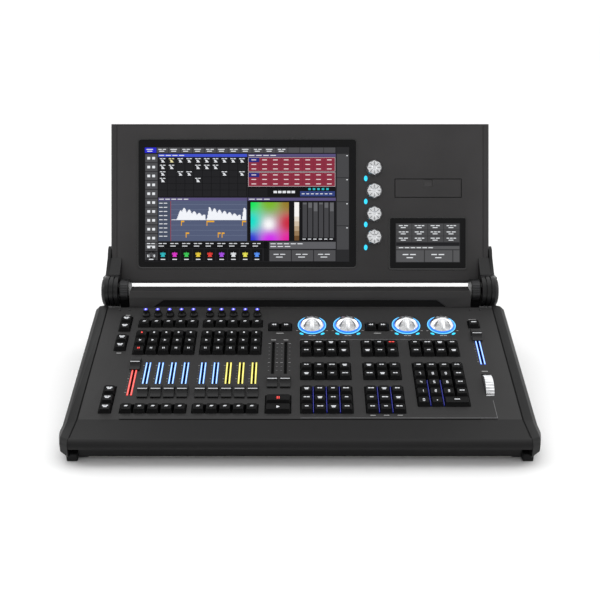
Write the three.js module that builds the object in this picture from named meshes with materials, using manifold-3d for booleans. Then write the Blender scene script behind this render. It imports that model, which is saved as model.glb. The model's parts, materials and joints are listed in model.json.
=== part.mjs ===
// A portable lighting control desk: a sloping deck of keys, faders and encoders between two cheeks,
// and a hinged lid with two screens. Millimetres, +Z up, +X to the operator's right, front at -Y.
// The origin is on the ground, under the middle of the whole desk with its lid open.

import * as THREE from "three";
import { mergeVertices } from "three/addons/utils/BufferGeometryUtils.js";
import Module from "manifold-3d";

const wasm = await Module();
wasm.setup();

const degrees = THREE.MathUtils.degToRad;

// ---------------------------------------------------------------- driving dimensions

// Fits
const GAP = 0.3; // between fixed pieces that meet
const RUNNING = 0.5; // round pieces that move

// Case
const CASE_WIDTH = 666; // over the cheeks
const SHEET = 2.5; // thickness of the case panels
const ROUND_SIDES = 32; // of the large round pieces
const DECK_SLOPE = degrees(14);
const DECK_LENGTH = 260.3; // along the slope, from the rear edge to the armrest
const REAR_DEPTH = 86.132; // rear edge of the deck to the rear wall
const ARMREST_HEIGHT = 38;
const ARMREST_DEPTH = 61.3;
const ARMREST_LAP = 4; // the armrest's sheet starts this far up the slope
const NOSE_RADIUS = 9;
const LIP_RETURN = 16; // flange folded back under the nose
const SKIRT_SETBACK = 19; // dark front wall behind the nose
const FLOOR_CLEARANCE = 3; // tray floor above the ground
const TRAY_SIDE_INSET = 29.3; // tray side wall in from the outside of the cheek

// Cheeks and feet
const CHEEK_WIDTH = 20.5;
const CHEEK_SHOULDER = 13.5; // from the inner face to where the top rounds over
const CHEEK_SHOULDER_DROP = 2.5;
const CHEEK_SHOULDER_SETBACK = 12; // front of the cheek cut back at the shoulder
const CHEEK_SHOULDER_RISE = 2;
const CHEEK_OUTER_DROP = 9;
const CHEEK_CORNER_CUT = 37; // front corner cut back at the outer face
const CHEEK_BASE = 12; // underside above the ground
const CHEEK_BASE_RISE = 4; // underside rises this far to the outer face
const CHEEK_TOE = 3; // chamfer at the bottom of its front face
const CHEEK_NOTCH_DRAFT = 2; // slant of the step in front of the drum
const FOOT_WIDTH = 15;
const FOOT_INSET = 14; // outer face of the foot rail in from the outside of the cheek
const FOOT_FRONT_SETBACK = 12.5;

// Hinge
const HINGE_BEHIND = 34; // hinge line behind the rear edge of the deck
const HINGE_ABOVE = 15; // and above it
const DRUM_RADIUS = 25;
const DRUM_GROOVE = 2;
const DRUM_WIDTH = 27;
const DRUM_SHOULDER_RADIUS = 23.5; // where its outer end rounds over
const DRUM_END_RADIUS = 20;
const DRUM_INSET = 9; // outer end of the drum in from the outside of the cheek
const BARREL_RADIUS = 20;
const BARREL_WIDTH = 15;
const BARREL_SPACING = 2; // between the fixed barrel and the drum
const BARREL_FOOT = 15; // half the width of the foot under the barrel
const PIN_RADIUS = 6;
const PIN_SIDES = 16;
const DRUM_FLOOR_CLEARANCE = 5;

// Raised housing behind the deck
const HOUSING_END_SPACING = 3; // between the housing and the fixed barrel
const HOUSING_REACH = 28; // its knee in front of the hinge line
const HOUSING_CREST_FRONT = 22; // its crest starts in front of the hinge line
const HOUSING_CREST_REAR = 3; // and ends behind it
const HOUSING_CREST = 9.1; // front of the crest above the hinge line
const HOUSING_CREST_FALL = 1.9;
const HOUSING_BACK = 7; // bottom of its rear face behind the hinge line
const RECESS_HALF_WIDTH = 238;
const RECESS_TAPER = 16;
const RECESS_SHARE = 0.62; // of the height of the lower front face
const RECESS_DEPTH = 1.2;

// Lid
const LID_SIDE_INSET = 14.8; // lid edge in from the outside of the cheeks
const LID_HEIGHT = 267.8;
const LID_DEPTH = 35;
const LID_WALL = 3;
const LID_BAND = 10; // width of the rolled bands along its two sides
const LID_CHAMFER = 6;
const LID_RIM_DEPTH = 2; // rounding of the rim round its face
const LID_RIM_INSET = 1.2;
const LID_LEAN = degrees(22.5); // back from upright, as it stands open
const LID_FACE_BACK = 31.5; // face behind the hinge line
const LID_EDGE_UP = 14.3; // lower edge above the hinge line
const ARM_PLATE = 4.9; // side plate of the hinge arm
const ARM_PLATE_RISE = 62; // above the lower edge of the lid
const ARM_PLATE_DEPTH = 28;
const ARM_COVER_RISE = 42;
const ARM_COVER_WIDTH = 18; // in front of the lid
const ARM_CROWN = 2.5; // the arm stands this much over the drum behind its crest, and under it in front
const ARM_STEP = 3; // side plate in front of the lid's face

// Screens and the hatch, each placed from an edge of the lid
const MAIN_GLASS = { left: 45.6, bottom: 25.8, width: 367.7, height: 216.4, corner: 6 };
const SIDE_GLASS = { right: 38.7, bottom: 23.7, width: 128.5, height: 85.8, corner: 3 };
const HATCH = { right: 47, bottom: 144.5, width: 110.8, height: 30, corner: 1.5 };
const HATCH_NOTCH_WIDTH = 14.7;
const HATCH_NOTCH_DEPTH = 12.4;
const GLASS_THICKNESS = 4;
const GLASS_RECESS = 0.6;
const SCREEN_KNOB_RIGHT = 193.5; // from the right edge of the lid
const SCREEN_KNOB_BOTTOM = 77.1;
const SCREEN_KNOB_PITCH = 38.7;
const SCREEN_KNOB_COUNT = 4;
const SCREEN_KNOB_RADIUS = 13.4;
const SCREEN_KNOB_HEIGHT = 9;
const SCREEN_KNOB_SHOULDER = 7.2; // height where its top starts to close
const SCREEN_KNOB_SHOULDER_RADIUS = 12.9;
const SCREEN_KNOB_TOP_RADIUS = 11.4;
const SCREEN_KNOB_SIDES = 24;

// Keys
const KEY_PITCH = 19.05;
const KEY_GAP = 1.4; // between neighbouring skirts
const KEY_HEIGHT = 5.2; // above the deck
const KEY_SIDE_TAPER = 1.7;
const KEY_FRONT_TAPER = 3.2;
const KEY_REAR_TAPER = 2.5;
const CARRIER_TOP = 6; // top of the carrier plate below the deck
const CARRIER_THICKNESS = 2;

// Faders
const PLAYBACK_TRAVEL = 60;
const CROSSFADE_TRAVEL = 90;
const FADER_CAP_SPACING = 3.65; // between the caps of neighbouring faders
const FADER_CAP_REAR = 14;
const FADER_CAP_FRONT = 11.5;
const FADER_CREST = 8;
const FADER_CREST_HALF = 1.6; // half the flat along its crest
const FADER_FLANK = 0.6; // share of the crest's height where the cap turns down to its ends
const FADER_GRIP = 4; // front of the crest to that turn
const FADER_REAR_EDGE = 3;
const FADER_FRONT_EDGE = 2;
const STEM_WIDTH = 2;
const STEM_LENGTH = 7;
const STEM_DEPTH = 11.5; // below the deck
const TRACK_WIDTH = 12;
const TRACK_END = 4; // track beyond each end of the slot

// Encoders and knobs
const ENCODER_RADIUS = 17;
const ENCODER_TOP_RADIUS = 11;
const ENCODER_HEIGHT = 15.4;
const ENCODER_SKIRT = 4.25; // height of its straight skirt
const ENCODER_SHOULDER = 11.5; // height where its top starts to close
const ENCODER_SHOULDER_RADIUS = 14.2;
const ENCODER_LOBES = 8;
const ENCODER_LOBE_DEPTH = 1.4;
const ENCODER_PITCH = 56;
const SHAFT_RADIUS = 3;
const SHAFT_SIDES = 12;
const SHAFT_DEPTH = 9; // below the deck
const KNOB_RADIUS = 6.5;
const KNOB_TOP_RADIUS = 4.5;
const KNOB_HEIGHT = 12;
const KNOB_SKIRT = 3.6; // height of its wide skirt
const KNOB_NECK = 5.4; // height where its narrow top starts
const KNOB_SIDES = 16;
const WHEEL_RADIUS = 26;
const WHEEL_WIDTH = 12;
const WHEEL_PROTRUSION = 10.7;
const WHEEL_RIBS = 36;
const WHEEL_RIB_HEIGHT = 0.8;
const EAR_THICKNESS = 2.5; // of the two ears that carry the wheel

// Layout across the deck: the playbacks from its left edge, the programmer from its right edge
const LEFT_COLUMN = 36.2; // middle of the left key column from the left edge of the deck
const BANK_FROM_LEFT_COLUMN = 29.5;
const BANK_TO_BANK = 25.8; // last column of a bank to the first of the next
const BANK_COLUMNS = 5;
const BANK_COUNT = 2;
const CROSSFADE_FROM_BANK = 27.5;
const PROGRAMMER_LEFT = 312.2; // left edge of the programmer keys from the right edge of the deck
const BLOCK_SPACING = 17;
const MASTER_FROM_BLOCK = 31.3;
const LEFT_ENCODERS = 18.9; // first encoder of the left pair from the left of the left block
const RIGHT_ENCODERS = 0.35; // first encoder of the right pair from the left of the right block

// Layout down the deck, each from its rear edge
const KNOB_ROW = 20;
const LEFT_PAIR_ROW = 24.8;
const LEFT_PAIR_SPACING = 9.5;
const LEFT_TRIPLE_SPACING = 80.8;
const SELECT_ROW = 33.6;
const SELECT_SPACING = 9.5;
const FADER_SPACING = 25; // key rows to the ends of the fader travel
const SEEK_ROW = 42.5;
const CROSSFADE_SPACING = 31;
const TRANSPORT_SPACING = 28;
const ENCODER_ROW = 47;
const PROGRAMMER_ROW = 85.7;
const ROW_SPACING = 15.4;
const LAST_ROW_SPACING = 14.2;
const MASTER_KEY_ROW = 35.5;
const MASTER_FADER_SPACING = 21.2;
const WHEEL_SPACING = 52; // end of the master fader's travel to the middle of the wheel

// Inside
const BOARD_DEPTH = 24; // control board below the deck
const BOARD_THICKNESS = 1.6;
const BOARD_SIDE_MARGIN = 20;
const BOARD_END_MARGIN = 10;
const MAIN_BOARD = { x: -70, y: 40, width: 240, depth: 150, up: 9 };
const PILLAR_HALF = 3;
const PILLAR_INSET = 8; // of a pillar under the main board from its edges
const HEAT_SINK = { half: 25, halfDepth: 20, rise: 16 };
const POWER_SUPPLY = { x: 190, y: 60, width: 150, depth: 100, height: 38, up: 3 };

// ---------------------------------------------------------------- derived places

const caseHalf = CASE_WIDTH / 2;
const deckHalf = caseHalf - CHEEK_WIDTH - GAP;
const lidHalf = caseHalf - LID_SIDE_INSET;
const lidTop = LID_EDGE_UP + LID_HEIGHT;
const lidBackReach =
  (LID_FACE_BACK + LID_DEPTH) * Math.cos(LID_LEAN) + (lidTop - LID_CHAMFER) * Math.sin(LID_LEAN);
const deckRun = DECK_LENGTH * Math.cos(DECK_SLOPE);
const deckRise = DECK_LENGTH * Math.sin(DECK_SLOPE);
const wholeDepth = ARMREST_DEPTH + deckRun + HINGE_BEHIND + lidBackReach;

const frontY = -wholeDepth / 2;
const bendY = frontY + ARMREST_DEPTH;
const deckRearY = bendY + deckRun;
const deckRearZ = ARMREST_HEIGHT + deckRise;
const rearY = deckRearY + REAR_DEPTH;
const hingeY = deckRearY + HINGE_BEHIND;
const hingeZ = deckRearZ + HINGE_ABOVE;
const shelfZ = hingeZ - DRUM_RADIUS - DRUM_FLOOR_CLEARANCE;
const drumOuter = caseHalf - DRUM_INSET;
const drumInner = drumOuter - DRUM_WIDTH;
const barrelOuter = drumInner - BARREL_SPACING;
const barrelInner = barrelOuter - BARREL_WIDTH;
const housingHalf = barrelInner - HOUSING_END_SPACING;

// Columns and rows of the deck
const leftColumn = -deckHalf + LEFT_COLUMN;
const bankStarts = Array.from(
  { length: BANK_COUNT },
  (_, bank) =>
    leftColumn + BANK_FROM_LEFT_COLUMN + bank * ((BANK_COLUMNS - 1) * KEY_PITCH + BANK_TO_BANK),
);
const lastBankColumn = bankStarts[BANK_COUNT - 1] + (BANK_COLUMNS - 1) * KEY_PITCH;
const crossfadeColumns = [0, 1].map((i) => lastBankColumn + CROSSFADE_FROM_BANK + i * KEY_PITCH);
const crossfadeMiddle = (crossfadeColumns[0] + crossfadeColumns[1]) / 2;
const blockLeft = deckHalf - PROGRAMMER_LEFT;
const blockMiddle = blockLeft + 4 * KEY_PITCH + BLOCK_SPACING;
const blockRight = blockMiddle + 3 * KEY_PITCH + BLOCK_SPACING;
const masterColumn = blockRight + 4 * KEY_PITCH + MASTER_FROM_BLOCK;
const encoderColumns = [blockLeft + LEFT_ENCODERS, blockRight + RIGHT_ENCODERS].flatMap((x) => [
  x,
  x + ENCODER_PITCH,
]);
const pageMiddle = (encoderColumns[1] + encoderColumns[2]) / 2;

const cueRow = SELECT_ROW + KEY_PITCH + SELECT_SPACING;
const playbackTop = cueRow + 3 * KEY_PITCH + FADER_SPACING;
const playbackBottom = playbackTop + PLAYBACK_TRAVEL;
const flashRow = playbackBottom + FADER_SPACING;
const crossfadeTop = SEEK_ROW + KEY_PITCH + CROSSFADE_SPACING;
const crossfadeBottom = crossfadeTop + CROSSFADE_TRAVEL;
const transportRow = crossfadeBottom + TRANSPORT_SPACING;
const secondRow = PROGRAMMER_ROW + 2 * KEY_PITCH + ROW_SPACING;
const thirdRow = secondRow + 2 * KEY_PITCH + LAST_ROW_SPACING;
const masterTop = MASTER_KEY_ROW + KEY_PITCH + MASTER_FADER_SPACING;
const masterBottom = masterTop + PLAYBACK_TRAVEL;
const wheelRow = masterBottom + WHEEL_SPACING;
const wheelDrop = WHEEL_RADIUS - WHEEL_PROTRUSION; // wheel's axle below the deck

// ---------------------------------------------------------------- geometry helpers

const outlineVectors = (outline) => outline.map(([a, b]) => new THREE.Vector2(a, b));

// A closed solid through sections of [height, outline], with matching outlines of [x, y] points.
function loft(sections) {
  const count = sections[0][1].length;
  const clockwise = THREE.ShapeUtils.isClockWise(outlineVectors(sections[0][1]));
  const rings = sections.map(([, outline]) => (clockwise ? [...outline].reverse() : outline));
  const positions = rings.flatMap((ring, i) => ring.flatMap(([x, y]) => [x, y, sections[i][0]]));
  const index = [];
  for (let ring = 0; ring + 1 < rings.length; ring += 1) {
    for (let i = 0; i < count; i += 1) {
      const here = ring * count + i;
      const next = ring * count + ((i + 1) % count);
      index.push(here, next, next + count, here, next + count, here + count);
    }
  }
  const last = (rings.length - 1) * count;
  for (const [a, b, c] of THREE.ShapeUtils.triangulateShape(outlineVectors(rings[0]), [])) {
    index.push(c, b, a);
  }
  for (const [a, b, c] of THREE.ShapeUtils.triangulateShape(outlineVectors(rings.at(-1)), [])) {
    index.push(last + a, last + b, last + c);
  }
  const geometry = new THREE.BufferGeometry();
  geometry.setAttribute("position", new THREE.Float32BufferAttribute(positions, 3));
  geometry.setIndex(index);
  return geometry;
}

// Turns a solid that was drawn in [y, z] and built upwards so that it runs along X.
const alongX = (geometry) =>
  geometry.applyMatrix4(
    new THREE.Matrix4().makeBasis(
      new THREE.Vector3(0, 1, 0),
      new THREE.Vector3(0, 0, 1),
      new THREE.Vector3(1, 0, 0),
    ),
  );

// A prism of a [y, z] outline between two places along X.
const prism = (outline, from, to) =>
  alongX(
    loft([
      [Math.min(from, to), outline],
      [Math.max(from, to), outline],
    ]),
  );

const rectangle = (left, right, low, high) => [
  [left, low],
  [right, low],
  [right, high],
  [left, high],
];

const circle = (radius, sides) =>
  Array.from({ length: sides }, (_, i) => [
    radius * Math.cos((2 * Math.PI * i) / sides),
    radius * Math.sin((2 * Math.PI * i) / sides),
  ]);

const block = (left, right, front, rear, low, high) =>
  loft([
    [low, rectangle(left, right, front, rear)],
    [high, rectangle(left, right, front, rear)],
  ]);

// The outline of a folded sheet whose outer face runs through the points; it is thick to their right.
function foldedSheet(points, thickness) {
  const normals = points.slice(1).map(([y, z], i) => {
    const run = new THREE.Vector2(y - points[i][0], z - points[i][1]).normalize();
    return new THREE.Vector2(run.y, -run.x);
  });
  const inner = points.map(([y, z], i) => {
    const before = normals[Math.max(i - 1, 0)];
    const after = normals[Math.min(i, normals.length - 1)];
    const middle = before.clone().add(after).normalize();
    const reach = thickness / middle.dot(after);
    return [y + middle.x * reach, z + middle.y * reach];
  });
  return [...points, ...inner.reverse()];
}

function roundedRectangle(left, right, low, high, radius) {
  const shape = new THREE.Shape();
  shape.moveTo(left + radius, low);
  shape.absarc(right - radius, low + radius, radius, -Math.PI / 2, 0);
  shape.absarc(right - radius, high - radius, radius, 0, Math.PI / 2);
  shape.absarc(left + radius, high - radius, radius, Math.PI / 2, Math.PI);
  shape.absarc(left + radius, low + radius, radius, Math.PI, 1.5 * Math.PI);
  return shape;
}

const CORNER_SIDES = 3; // straight sides in a quarter turn of a small corner
const plate = (shape, thickness) =>
  new THREE.ExtrudeGeometry(shape, {
    depth: thickness,
    bevelEnabled: false,
    curveSegments: CORNER_SIDES,
  });

function solidFrom(geometry) {
  const bare = geometry.clone();
  bare.deleteAttribute("normal");
  bare.deleteAttribute("uv");
  const merged = mergeVertices(bare, 1e-4);
  return new wasm.Manifold(
    new wasm.Mesh({
      numProp: 3,
      vertProperties: merged.attributes.position.array,
      triVerts: new Uint32Array(merged.index.array),
    }),
  );
}

function geometryFrom(solid) {
  const mesh = solid.getMesh();
  const geometry = new THREE.BufferGeometry();
  geometry.setAttribute("position", new THREE.BufferAttribute(mesh.vertProperties, mesh.numProp));
  geometry.setIndex(new THREE.BufferAttribute(mesh.triVerts, 1));
  return geometry;
}

const joined = (geometries) =>
  geometryFrom(geometries.map(solidFrom).reduce((whole, next) => whole.add(next)));

const cut = (geometry, tools) =>
  geometryFrom(tools.map(solidFrom).reduce((left, tool) => left.subtract(tool), solidFrom(geometry)));

// ---------------------------------------------------------------- the scene graph

const desk = new THREE.Group();

// Deck frame: x across, y up the slope (so -y runs towards the operator), z out of the deck.
const deck = new THREE.Group();
deck.position.set(0, deckRearY, deckRearZ);
deck.rotation.x = DECK_SLOPE;
deck.updateMatrix();
desk.add(deck);

// Lid frame, on the hinge line: x across, y into the lid, z up its face.
const lid = new THREE.Group();
lid.position.set(0, hingeY, hingeZ);
lid.rotation.x = -LID_LEAN;
desk.add(lid);

const FINISHES = {
  coat: { color: 0x434242, roughness: 0.55, metalness: 0.3 },
  lidCoat: { color: 0x3a3838, roughness: 0.55, metalness: 0.3 },
  castCoat: { color: 0x2e2e2f, roughness: 0.6, metalness: 0.2 },
  key: { color: 0x121214, roughness: 0.35, metalness: 0 },
  cap: { color: 0x1b1b1d, roughness: 0.45, metalness: 0 },
  silver: { color: 0xc3c5c8, roughness: 0.3, metalness: 0.6 },
  glass: { color: 0x0b0c10, roughness: 0.08, metalness: 0 },
  board: { color: 0x1e4632, roughness: 0.6, metalness: 0 },
  aluminium: { color: 0x9b9ea1, roughness: 0.4, metalness: 0.9 },
  rubber: { color: 0x151515, roughness: 0.85, metalness: 0 },
};

function addMesh(parent, name, geometry, finish) {
  const mesh = new THREE.Mesh(geometry, new THREE.MeshStandardMaterial(FINISHES[finish]));
  mesh.name = name;
  parent.add(mesh);
  return mesh;
}

// ---------------------------------------------------------------- key field

// A grid of keys from its left and rear edges, as the middle and size of each key.
function keyGrid(left, row, columns, rows, width = KEY_PITCH) {
  const keys = [];
  for (let r = 0; r < rows; r += 1) {
    for (let c = 0; c < columns; c += 1) {
      keys.push({
        x: left + (c + 0.5) * width,
        v: row + (r + 0.5) * KEY_PITCH,
        width,
        length: KEY_PITCH,
      });
    }
  }
  return keys;
}

const bankLefts = bankStarts.map((start) => start - KEY_PITCH / 2);
const halfPitch = KEY_PITCH / 2;
const leftPairTwo = LEFT_PAIR_ROW + 2 * KEY_PITCH + LEFT_PAIR_SPACING;
const leftTriple = leftPairTwo + 2 * KEY_PITCH + LEFT_TRIPLE_SPACING;

// Each node's list of windows in the deck, and each window's list of keys.
const KEY_NODES = {
  playback_keys: bankLefts.flatMap((left) => [
    keyGrid(left, SELECT_ROW, BANK_COLUMNS, 1),
    keyGrid(left, cueRow, BANK_COLUMNS, 3),
  ]),
  flash_keys: bankLefts.map((left) => keyGrid(left, flashRow, BANK_COLUMNS, 1)),
  left_column_keys: [
    keyGrid(leftColumn - halfPitch, LEFT_PAIR_ROW, 1, 2),
    keyGrid(leftColumn - halfPitch, leftPairTwo, 1, 2),
    keyGrid(leftColumn - halfPitch, leftTriple, 1, 3),
  ],
  seek_keys: [keyGrid(crossfadeMiddle - KEY_PITCH, SEEK_ROW, 2, 1)],
  transport_keys: [keyGrid(crossfadeMiddle - KEY_PITCH, transportRow, 1, 2, 2 * KEY_PITCH)],
  programmer_keys_left: [
    keyGrid(blockLeft, PROGRAMMER_ROW, 4, 2),
    keyGrid(blockLeft, secondRow, 4, 2),
    keyGrid(blockLeft, thirdRow, 4, 3),
  ],
  programmer_keys_middle: [
    keyGrid(pageMiddle - KEY_PITCH, SEEK_ROW, 2, 1),
    keyGrid(blockMiddle, PROGRAMMER_ROW, 3, 2),
    keyGrid(blockMiddle, secondRow, 3, 2),
    keyGrid(blockMiddle, thirdRow, 3, 3),
  ],
  programmer_keys_right: [
    keyGrid(blockRight, PROGRAMMER_ROW, 4, 2),
    [
      ...keyGrid(blockRight, secondRow, 4, 4),
      ...keyGrid(blockRight, secondRow + 4 * KEY_PITCH, 2, 1),
      ...keyGrid(blockRight + 2 * KEY_PITCH, secondRow + 4 * KEY_PITCH, 1, 1, 2 * KEY_PITCH),
    ],
  ],
  master_key: [keyGrid(masterColumn - halfPitch, MASTER_KEY_ROW, 1, 1)],
};

// The left, right, rear and front edges of a list of keys, on the deck.
const edgesOf = (keys) => ({
  left: Math.min(...keys.map((key) => key.x - key.width / 2)),
  right: Math.max(...keys.map((key) => key.x + key.width / 2)),
  rear: Math.min(...keys.map((key) => key.v - key.length / 2)),
  front: Math.max(...keys.map((key) => key.v + key.length / 2)),
});

// A key cap: a straight skirt down to its carrier, and a top set back from all four sides.
function keyCap({ x, v, width, length }) {
  const side = (width - KEY_GAP) / 2;
  const end = (length - KEY_GAP) / 2;
  const skirt = rectangle(x - side, x + side, -v - end, -v + end);
  const top = rectangle(
    x - side + KEY_SIDE_TAPER,
    x + side - KEY_SIDE_TAPER,
    -v - end + KEY_FRONT_TAPER,
    -v + end - KEY_REAR_TAPER,
  );
  return loft([
    [-CARRIER_TOP - CARRIER_THICKNESS / 2, skirt],
    [0, skirt],
    [KEY_HEIGHT, top],
  ]);
}

for (const [name, windows] of Object.entries(KEY_NODES)) {
  const keys = windows.flat();
  const { left, right, rear, front } = edgesOf(keys);
  const inset = KEY_GAP / 2;
  const carrier = block(
    left + inset,
    right - inset,
    -front + inset,
    -rear - inset,
    -CARRIER_TOP - CARRIER_THICKNESS,
    -CARRIER_TOP,
  );
  addMesh(deck, name, joined([carrier, ...keys.map(keyCap)]), "key");
}

// ---------------------------------------------------------------- faders

// Each fader: its column, the two ends of its travel, and where it rests.
const FADERS = [
  ...bankStarts.flatMap((start, bank) =>
    Array.from({ length: BANK_COLUMNS }, (_, column) => ({
      name: `playback_fader_${bank * BANK_COLUMNS + column + 1}`,
      x: start + column * KEY_PITCH,
      top: playbackTop,
      bottom: playbackBottom,
      rest: bank + column === 0 ? playbackTop : playbackBottom,
    })),
  ),
  ...crossfadeColumns.map((x, i) => ({
    name: `crossfader_${["left", "right"][i]}`,
    x,
    top: crossfadeTop,
    bottom: crossfadeBottom,
    rest: crossfadeBottom,
  })),
  { name: "master_fader", x: masterColumn, top: masterTop, bottom: masterBottom, rest: masterTop },
];

// A fader cap with a raised crest across it, on a flat stem that passes through the slot.
function faderCap() {
  const half = (KEY_PITCH - FADER_CAP_SPACING) / 2;
  const profile = [
    [-FADER_CAP_FRONT, RUNNING],
    [FADER_CAP_REAR, RUNNING],
    [FADER_CAP_REAR, RUNNING + FADER_REAR_EDGE],
    [FADER_CAP_REAR / 2, FADER_CREST * FADER_FLANK],
    [FADER_CREST_HALF, FADER_CREST],
    [-FADER_CREST_HALF, FADER_CREST],
    [-FADER_GRIP, FADER_CREST * FADER_FLANK],
    [-FADER_CAP_FRONT, RUNNING + FADER_FRONT_EDGE],
  ];
  const stem = block(
    -STEM_WIDTH / 2,
    STEM_WIDTH / 2,
    -STEM_LENGTH / 2,
    STEM_LENGTH / 2,
    -STEM_DEPTH,
    RUNNING + 1,
  );
  return joined([prism(profile, -half, half), stem]);
}

for (const { name, x, rest } of FADERS) {
  addMesh(deck, name, faderCap(), "cap").position.set(x, -rest, 0);
}

// ---------------------------------------------------------------- encoders, knobs and the wheel

const shaft = (low, high) =>
  loft([
    [low, circle(SHAFT_RADIUS, SHAFT_SIDES)],
    [high, circle(SHAFT_RADIUS, SHAFT_SIDES)],
  ]);

// A round outline with shallow finger hollows, four points to each lobe.
const lobed = (radius, lobes, depth) =>
  Array.from({ length: 4 * lobes }, (_, i) => {
    const reach = radius - (i % 4 === 0 ? depth : i % 4 === 2 ? 0 : depth / 3);
    const turn = (2 * Math.PI * i) / (4 * lobes);
    return [reach * Math.cos(turn), reach * Math.sin(turn)];
  });

function encoderKnob() {
  const body = loft([
    [RUNNING, lobed(ENCODER_RADIUS, ENCODER_LOBES, ENCODER_LOBE_DEPTH)],
    [ENCODER_SKIRT, lobed(ENCODER_RADIUS, ENCODER_LOBES, ENCODER_LOBE_DEPTH)],
    [ENCODER_SHOULDER, lobed(ENCODER_SHOULDER_RADIUS, ENCODER_LOBES, ENCODER_LOBE_DEPTH)],
    [ENCODER_HEIGHT, lobed(ENCODER_TOP_RADIUS, ENCODER_LOBES, 0)],
  ]);
  return joined([body, shaft(-SHAFT_DEPTH, RUNNING + 1)]);
}

encoderColumns.forEach((x, i) => {
  addMesh(deck, `encoder_${i + 1}`, encoderKnob(), "silver").position.set(x, -ENCODER_ROW, 0);
});

function playbackKnob() {
  const body = loft([
    [RUNNING, circle(KNOB_RADIUS, KNOB_SIDES)],
    [KNOB_SKIRT, circle(KNOB_RADIUS, KNOB_SIDES)],
    [KNOB_NECK, circle(KNOB_TOP_RADIUS, KNOB_SIDES)],
    [KNOB_HEIGHT, circle(KNOB_TOP_RADIUS, KNOB_SIDES)],
  ]);
  return joined([body, shaft(-SHAFT_DEPTH, RUNNING + 1)]);
}

const playbackColumns = FADERS.slice(0, BANK_COUNT * BANK_COLUMNS).map((fader) => fader.x);
playbackColumns.forEach((x, i) => {
  addMesh(deck, `playback_knob_${i + 1}`, playbackKnob(), "cap").position.set(x, -KNOB_ROW, 0);
});

const earGap = RUNNING + GAP; // side of the wheel to the ear that carries it
const axleHalf = WHEEL_WIDTH / 2 + earGap + EAR_THICKNESS;

function thumbWheel() {
  const rim = Array.from({ length: 2 * WHEEL_RIBS }, (_, i) => {
    const turn = (Math.PI * i) / WHEEL_RIBS;
    const reach = WHEEL_RADIUS - (i % 2) * WHEEL_RIB_HEIGHT;
    return [reach * Math.cos(turn), reach * Math.sin(turn)];
  });
  const axle = prism(circle(SHAFT_RADIUS, SHAFT_SIDES), -axleHalf, axleHalf);
  return joined([prism(rim, -WHEEL_WIDTH / 2, WHEEL_WIDTH / 2), axle]);
}

addMesh(deck, "thumb_wheel", thumbWheel(), "silver").position.set(
  masterColumn,
  -wheelRow,
  -wheelDrop,
);

// ---------------------------------------------------------------- top panel

function deckHoles() {
  const holes = Object.values(KEY_NODES).flatMap((windows) =>
    windows.map((keys) => {
      const { left, right, rear, front } = edgesOf(keys);
      return rectangle(left, right, -front, -rear);
    }),
  );
  const slotHalf = STEM_WIDTH / 2 + RUNNING;
  const slotEnd = STEM_LENGTH / 2 + RUNNING;
  for (const { x, top, bottom } of FADERS) {
    holes.push(rectangle(x - slotHalf, x + slotHalf, -bottom - slotEnd, -top + slotEnd));
  }
  const shaftHoles = [
    ...encoderColumns.map((x) => [x, ENCODER_ROW]),
    ...playbackColumns.map((x) => [x, KNOB_ROW]),
  ];
  for (const [x, v] of shaftHoles) {
    holes.push(circle(SHAFT_RADIUS + 2 * RUNNING, SHAFT_SIDES).map(([a, b]) => [a + x, b - v]));
  }
  const wheelHalf = Math.sqrt(WHEEL_RADIUS ** 2 - (wheelDrop - SHEET) ** 2) + 2 * RUNNING;
  const wheelSide = WHEEL_WIDTH / 2 + RUNNING;
  holes.push(
    rectangle(
      masterColumn - wheelSide,
      masterColumn + wheelSide,
      -wheelRow - wheelHalf,
      -wheelRow + wheelHalf,
    ),
  );
  return holes;
}

function deckPlate() {
  const whole = block(-deckHalf, deckHalf, -DECK_LENGTH, 0, -SHEET, 0);
  const tools = deckHoles().map((hole) =>
    loft([
      [-2 * SHEET, hole],
      [SHEET, hole],
    ]),
  );
  return cut(whole, tools).applyMatrix4(deck.matrix);
}

const NOSE_SIDES = 5;
const noseArc = (setback, drop) =>
  Array.from({ length: NOSE_SIDES + 1 }, (_, i) => {
    const turn = (Math.PI / 2) * (i / NOSE_SIDES);
    return [
      frontY + setback + NOSE_RADIUS * (1 - Math.sin(turn)),
      ARMREST_HEIGHT - drop - NOSE_RADIUS * (1 - Math.cos(turn)),
    ];
  });

function topPanel() {
  const armrest = foldedSheet(
    [
      [frontY + LIP_RETURN, ARMREST_HEIGHT - NOSE_RADIUS - SHEET],
      [frontY, ARMREST_HEIGHT - NOSE_RADIUS - SHEET],
      ...noseArc(0, 0).reverse(),
      [bendY, ARMREST_HEIGHT],
      [
        bendY + ARMREST_LAP * Math.cos(DECK_SLOPE),
        ARMREST_HEIGHT + ARMREST_LAP * Math.sin(DECK_SLOPE),
      ],
    ],
    SHEET,
  );
  return joined([deckPlate(), prism(armrest, -deckHalf, deckHalf)]);
}

addMesh(desk, "top_panel", topPanel(), "coat");

// ---------------------------------------------------------------- cheeks and feet

// Side outline of a cheek, with its top lowered, its front set back and its underside raised.
function cheekOutline(drop, setback, rise) {
  const notchY = deckRearY + HINGE_BEHIND - DRUM_RADIUS - 2 * RUNNING;
  const slopeRise = (notchY - deckRearY) * Math.tan(DECK_SLOPE);
  return [
    ...noseArc(setback, drop),
    [frontY + setback, CHEEK_BASE + rise + CHEEK_TOE],
    [frontY + setback + CHEEK_TOE, CHEEK_BASE + rise],
    [rearY, CHEEK_BASE + rise],
    [rearY, shelfZ - drop],
    [notchY + CHEEK_NOTCH_DRAFT, shelfZ - drop],
    [notchY, deckRearZ + slopeRise - drop],
    [bendY, ARMREST_HEIGHT - drop],
  ];
}

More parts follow.
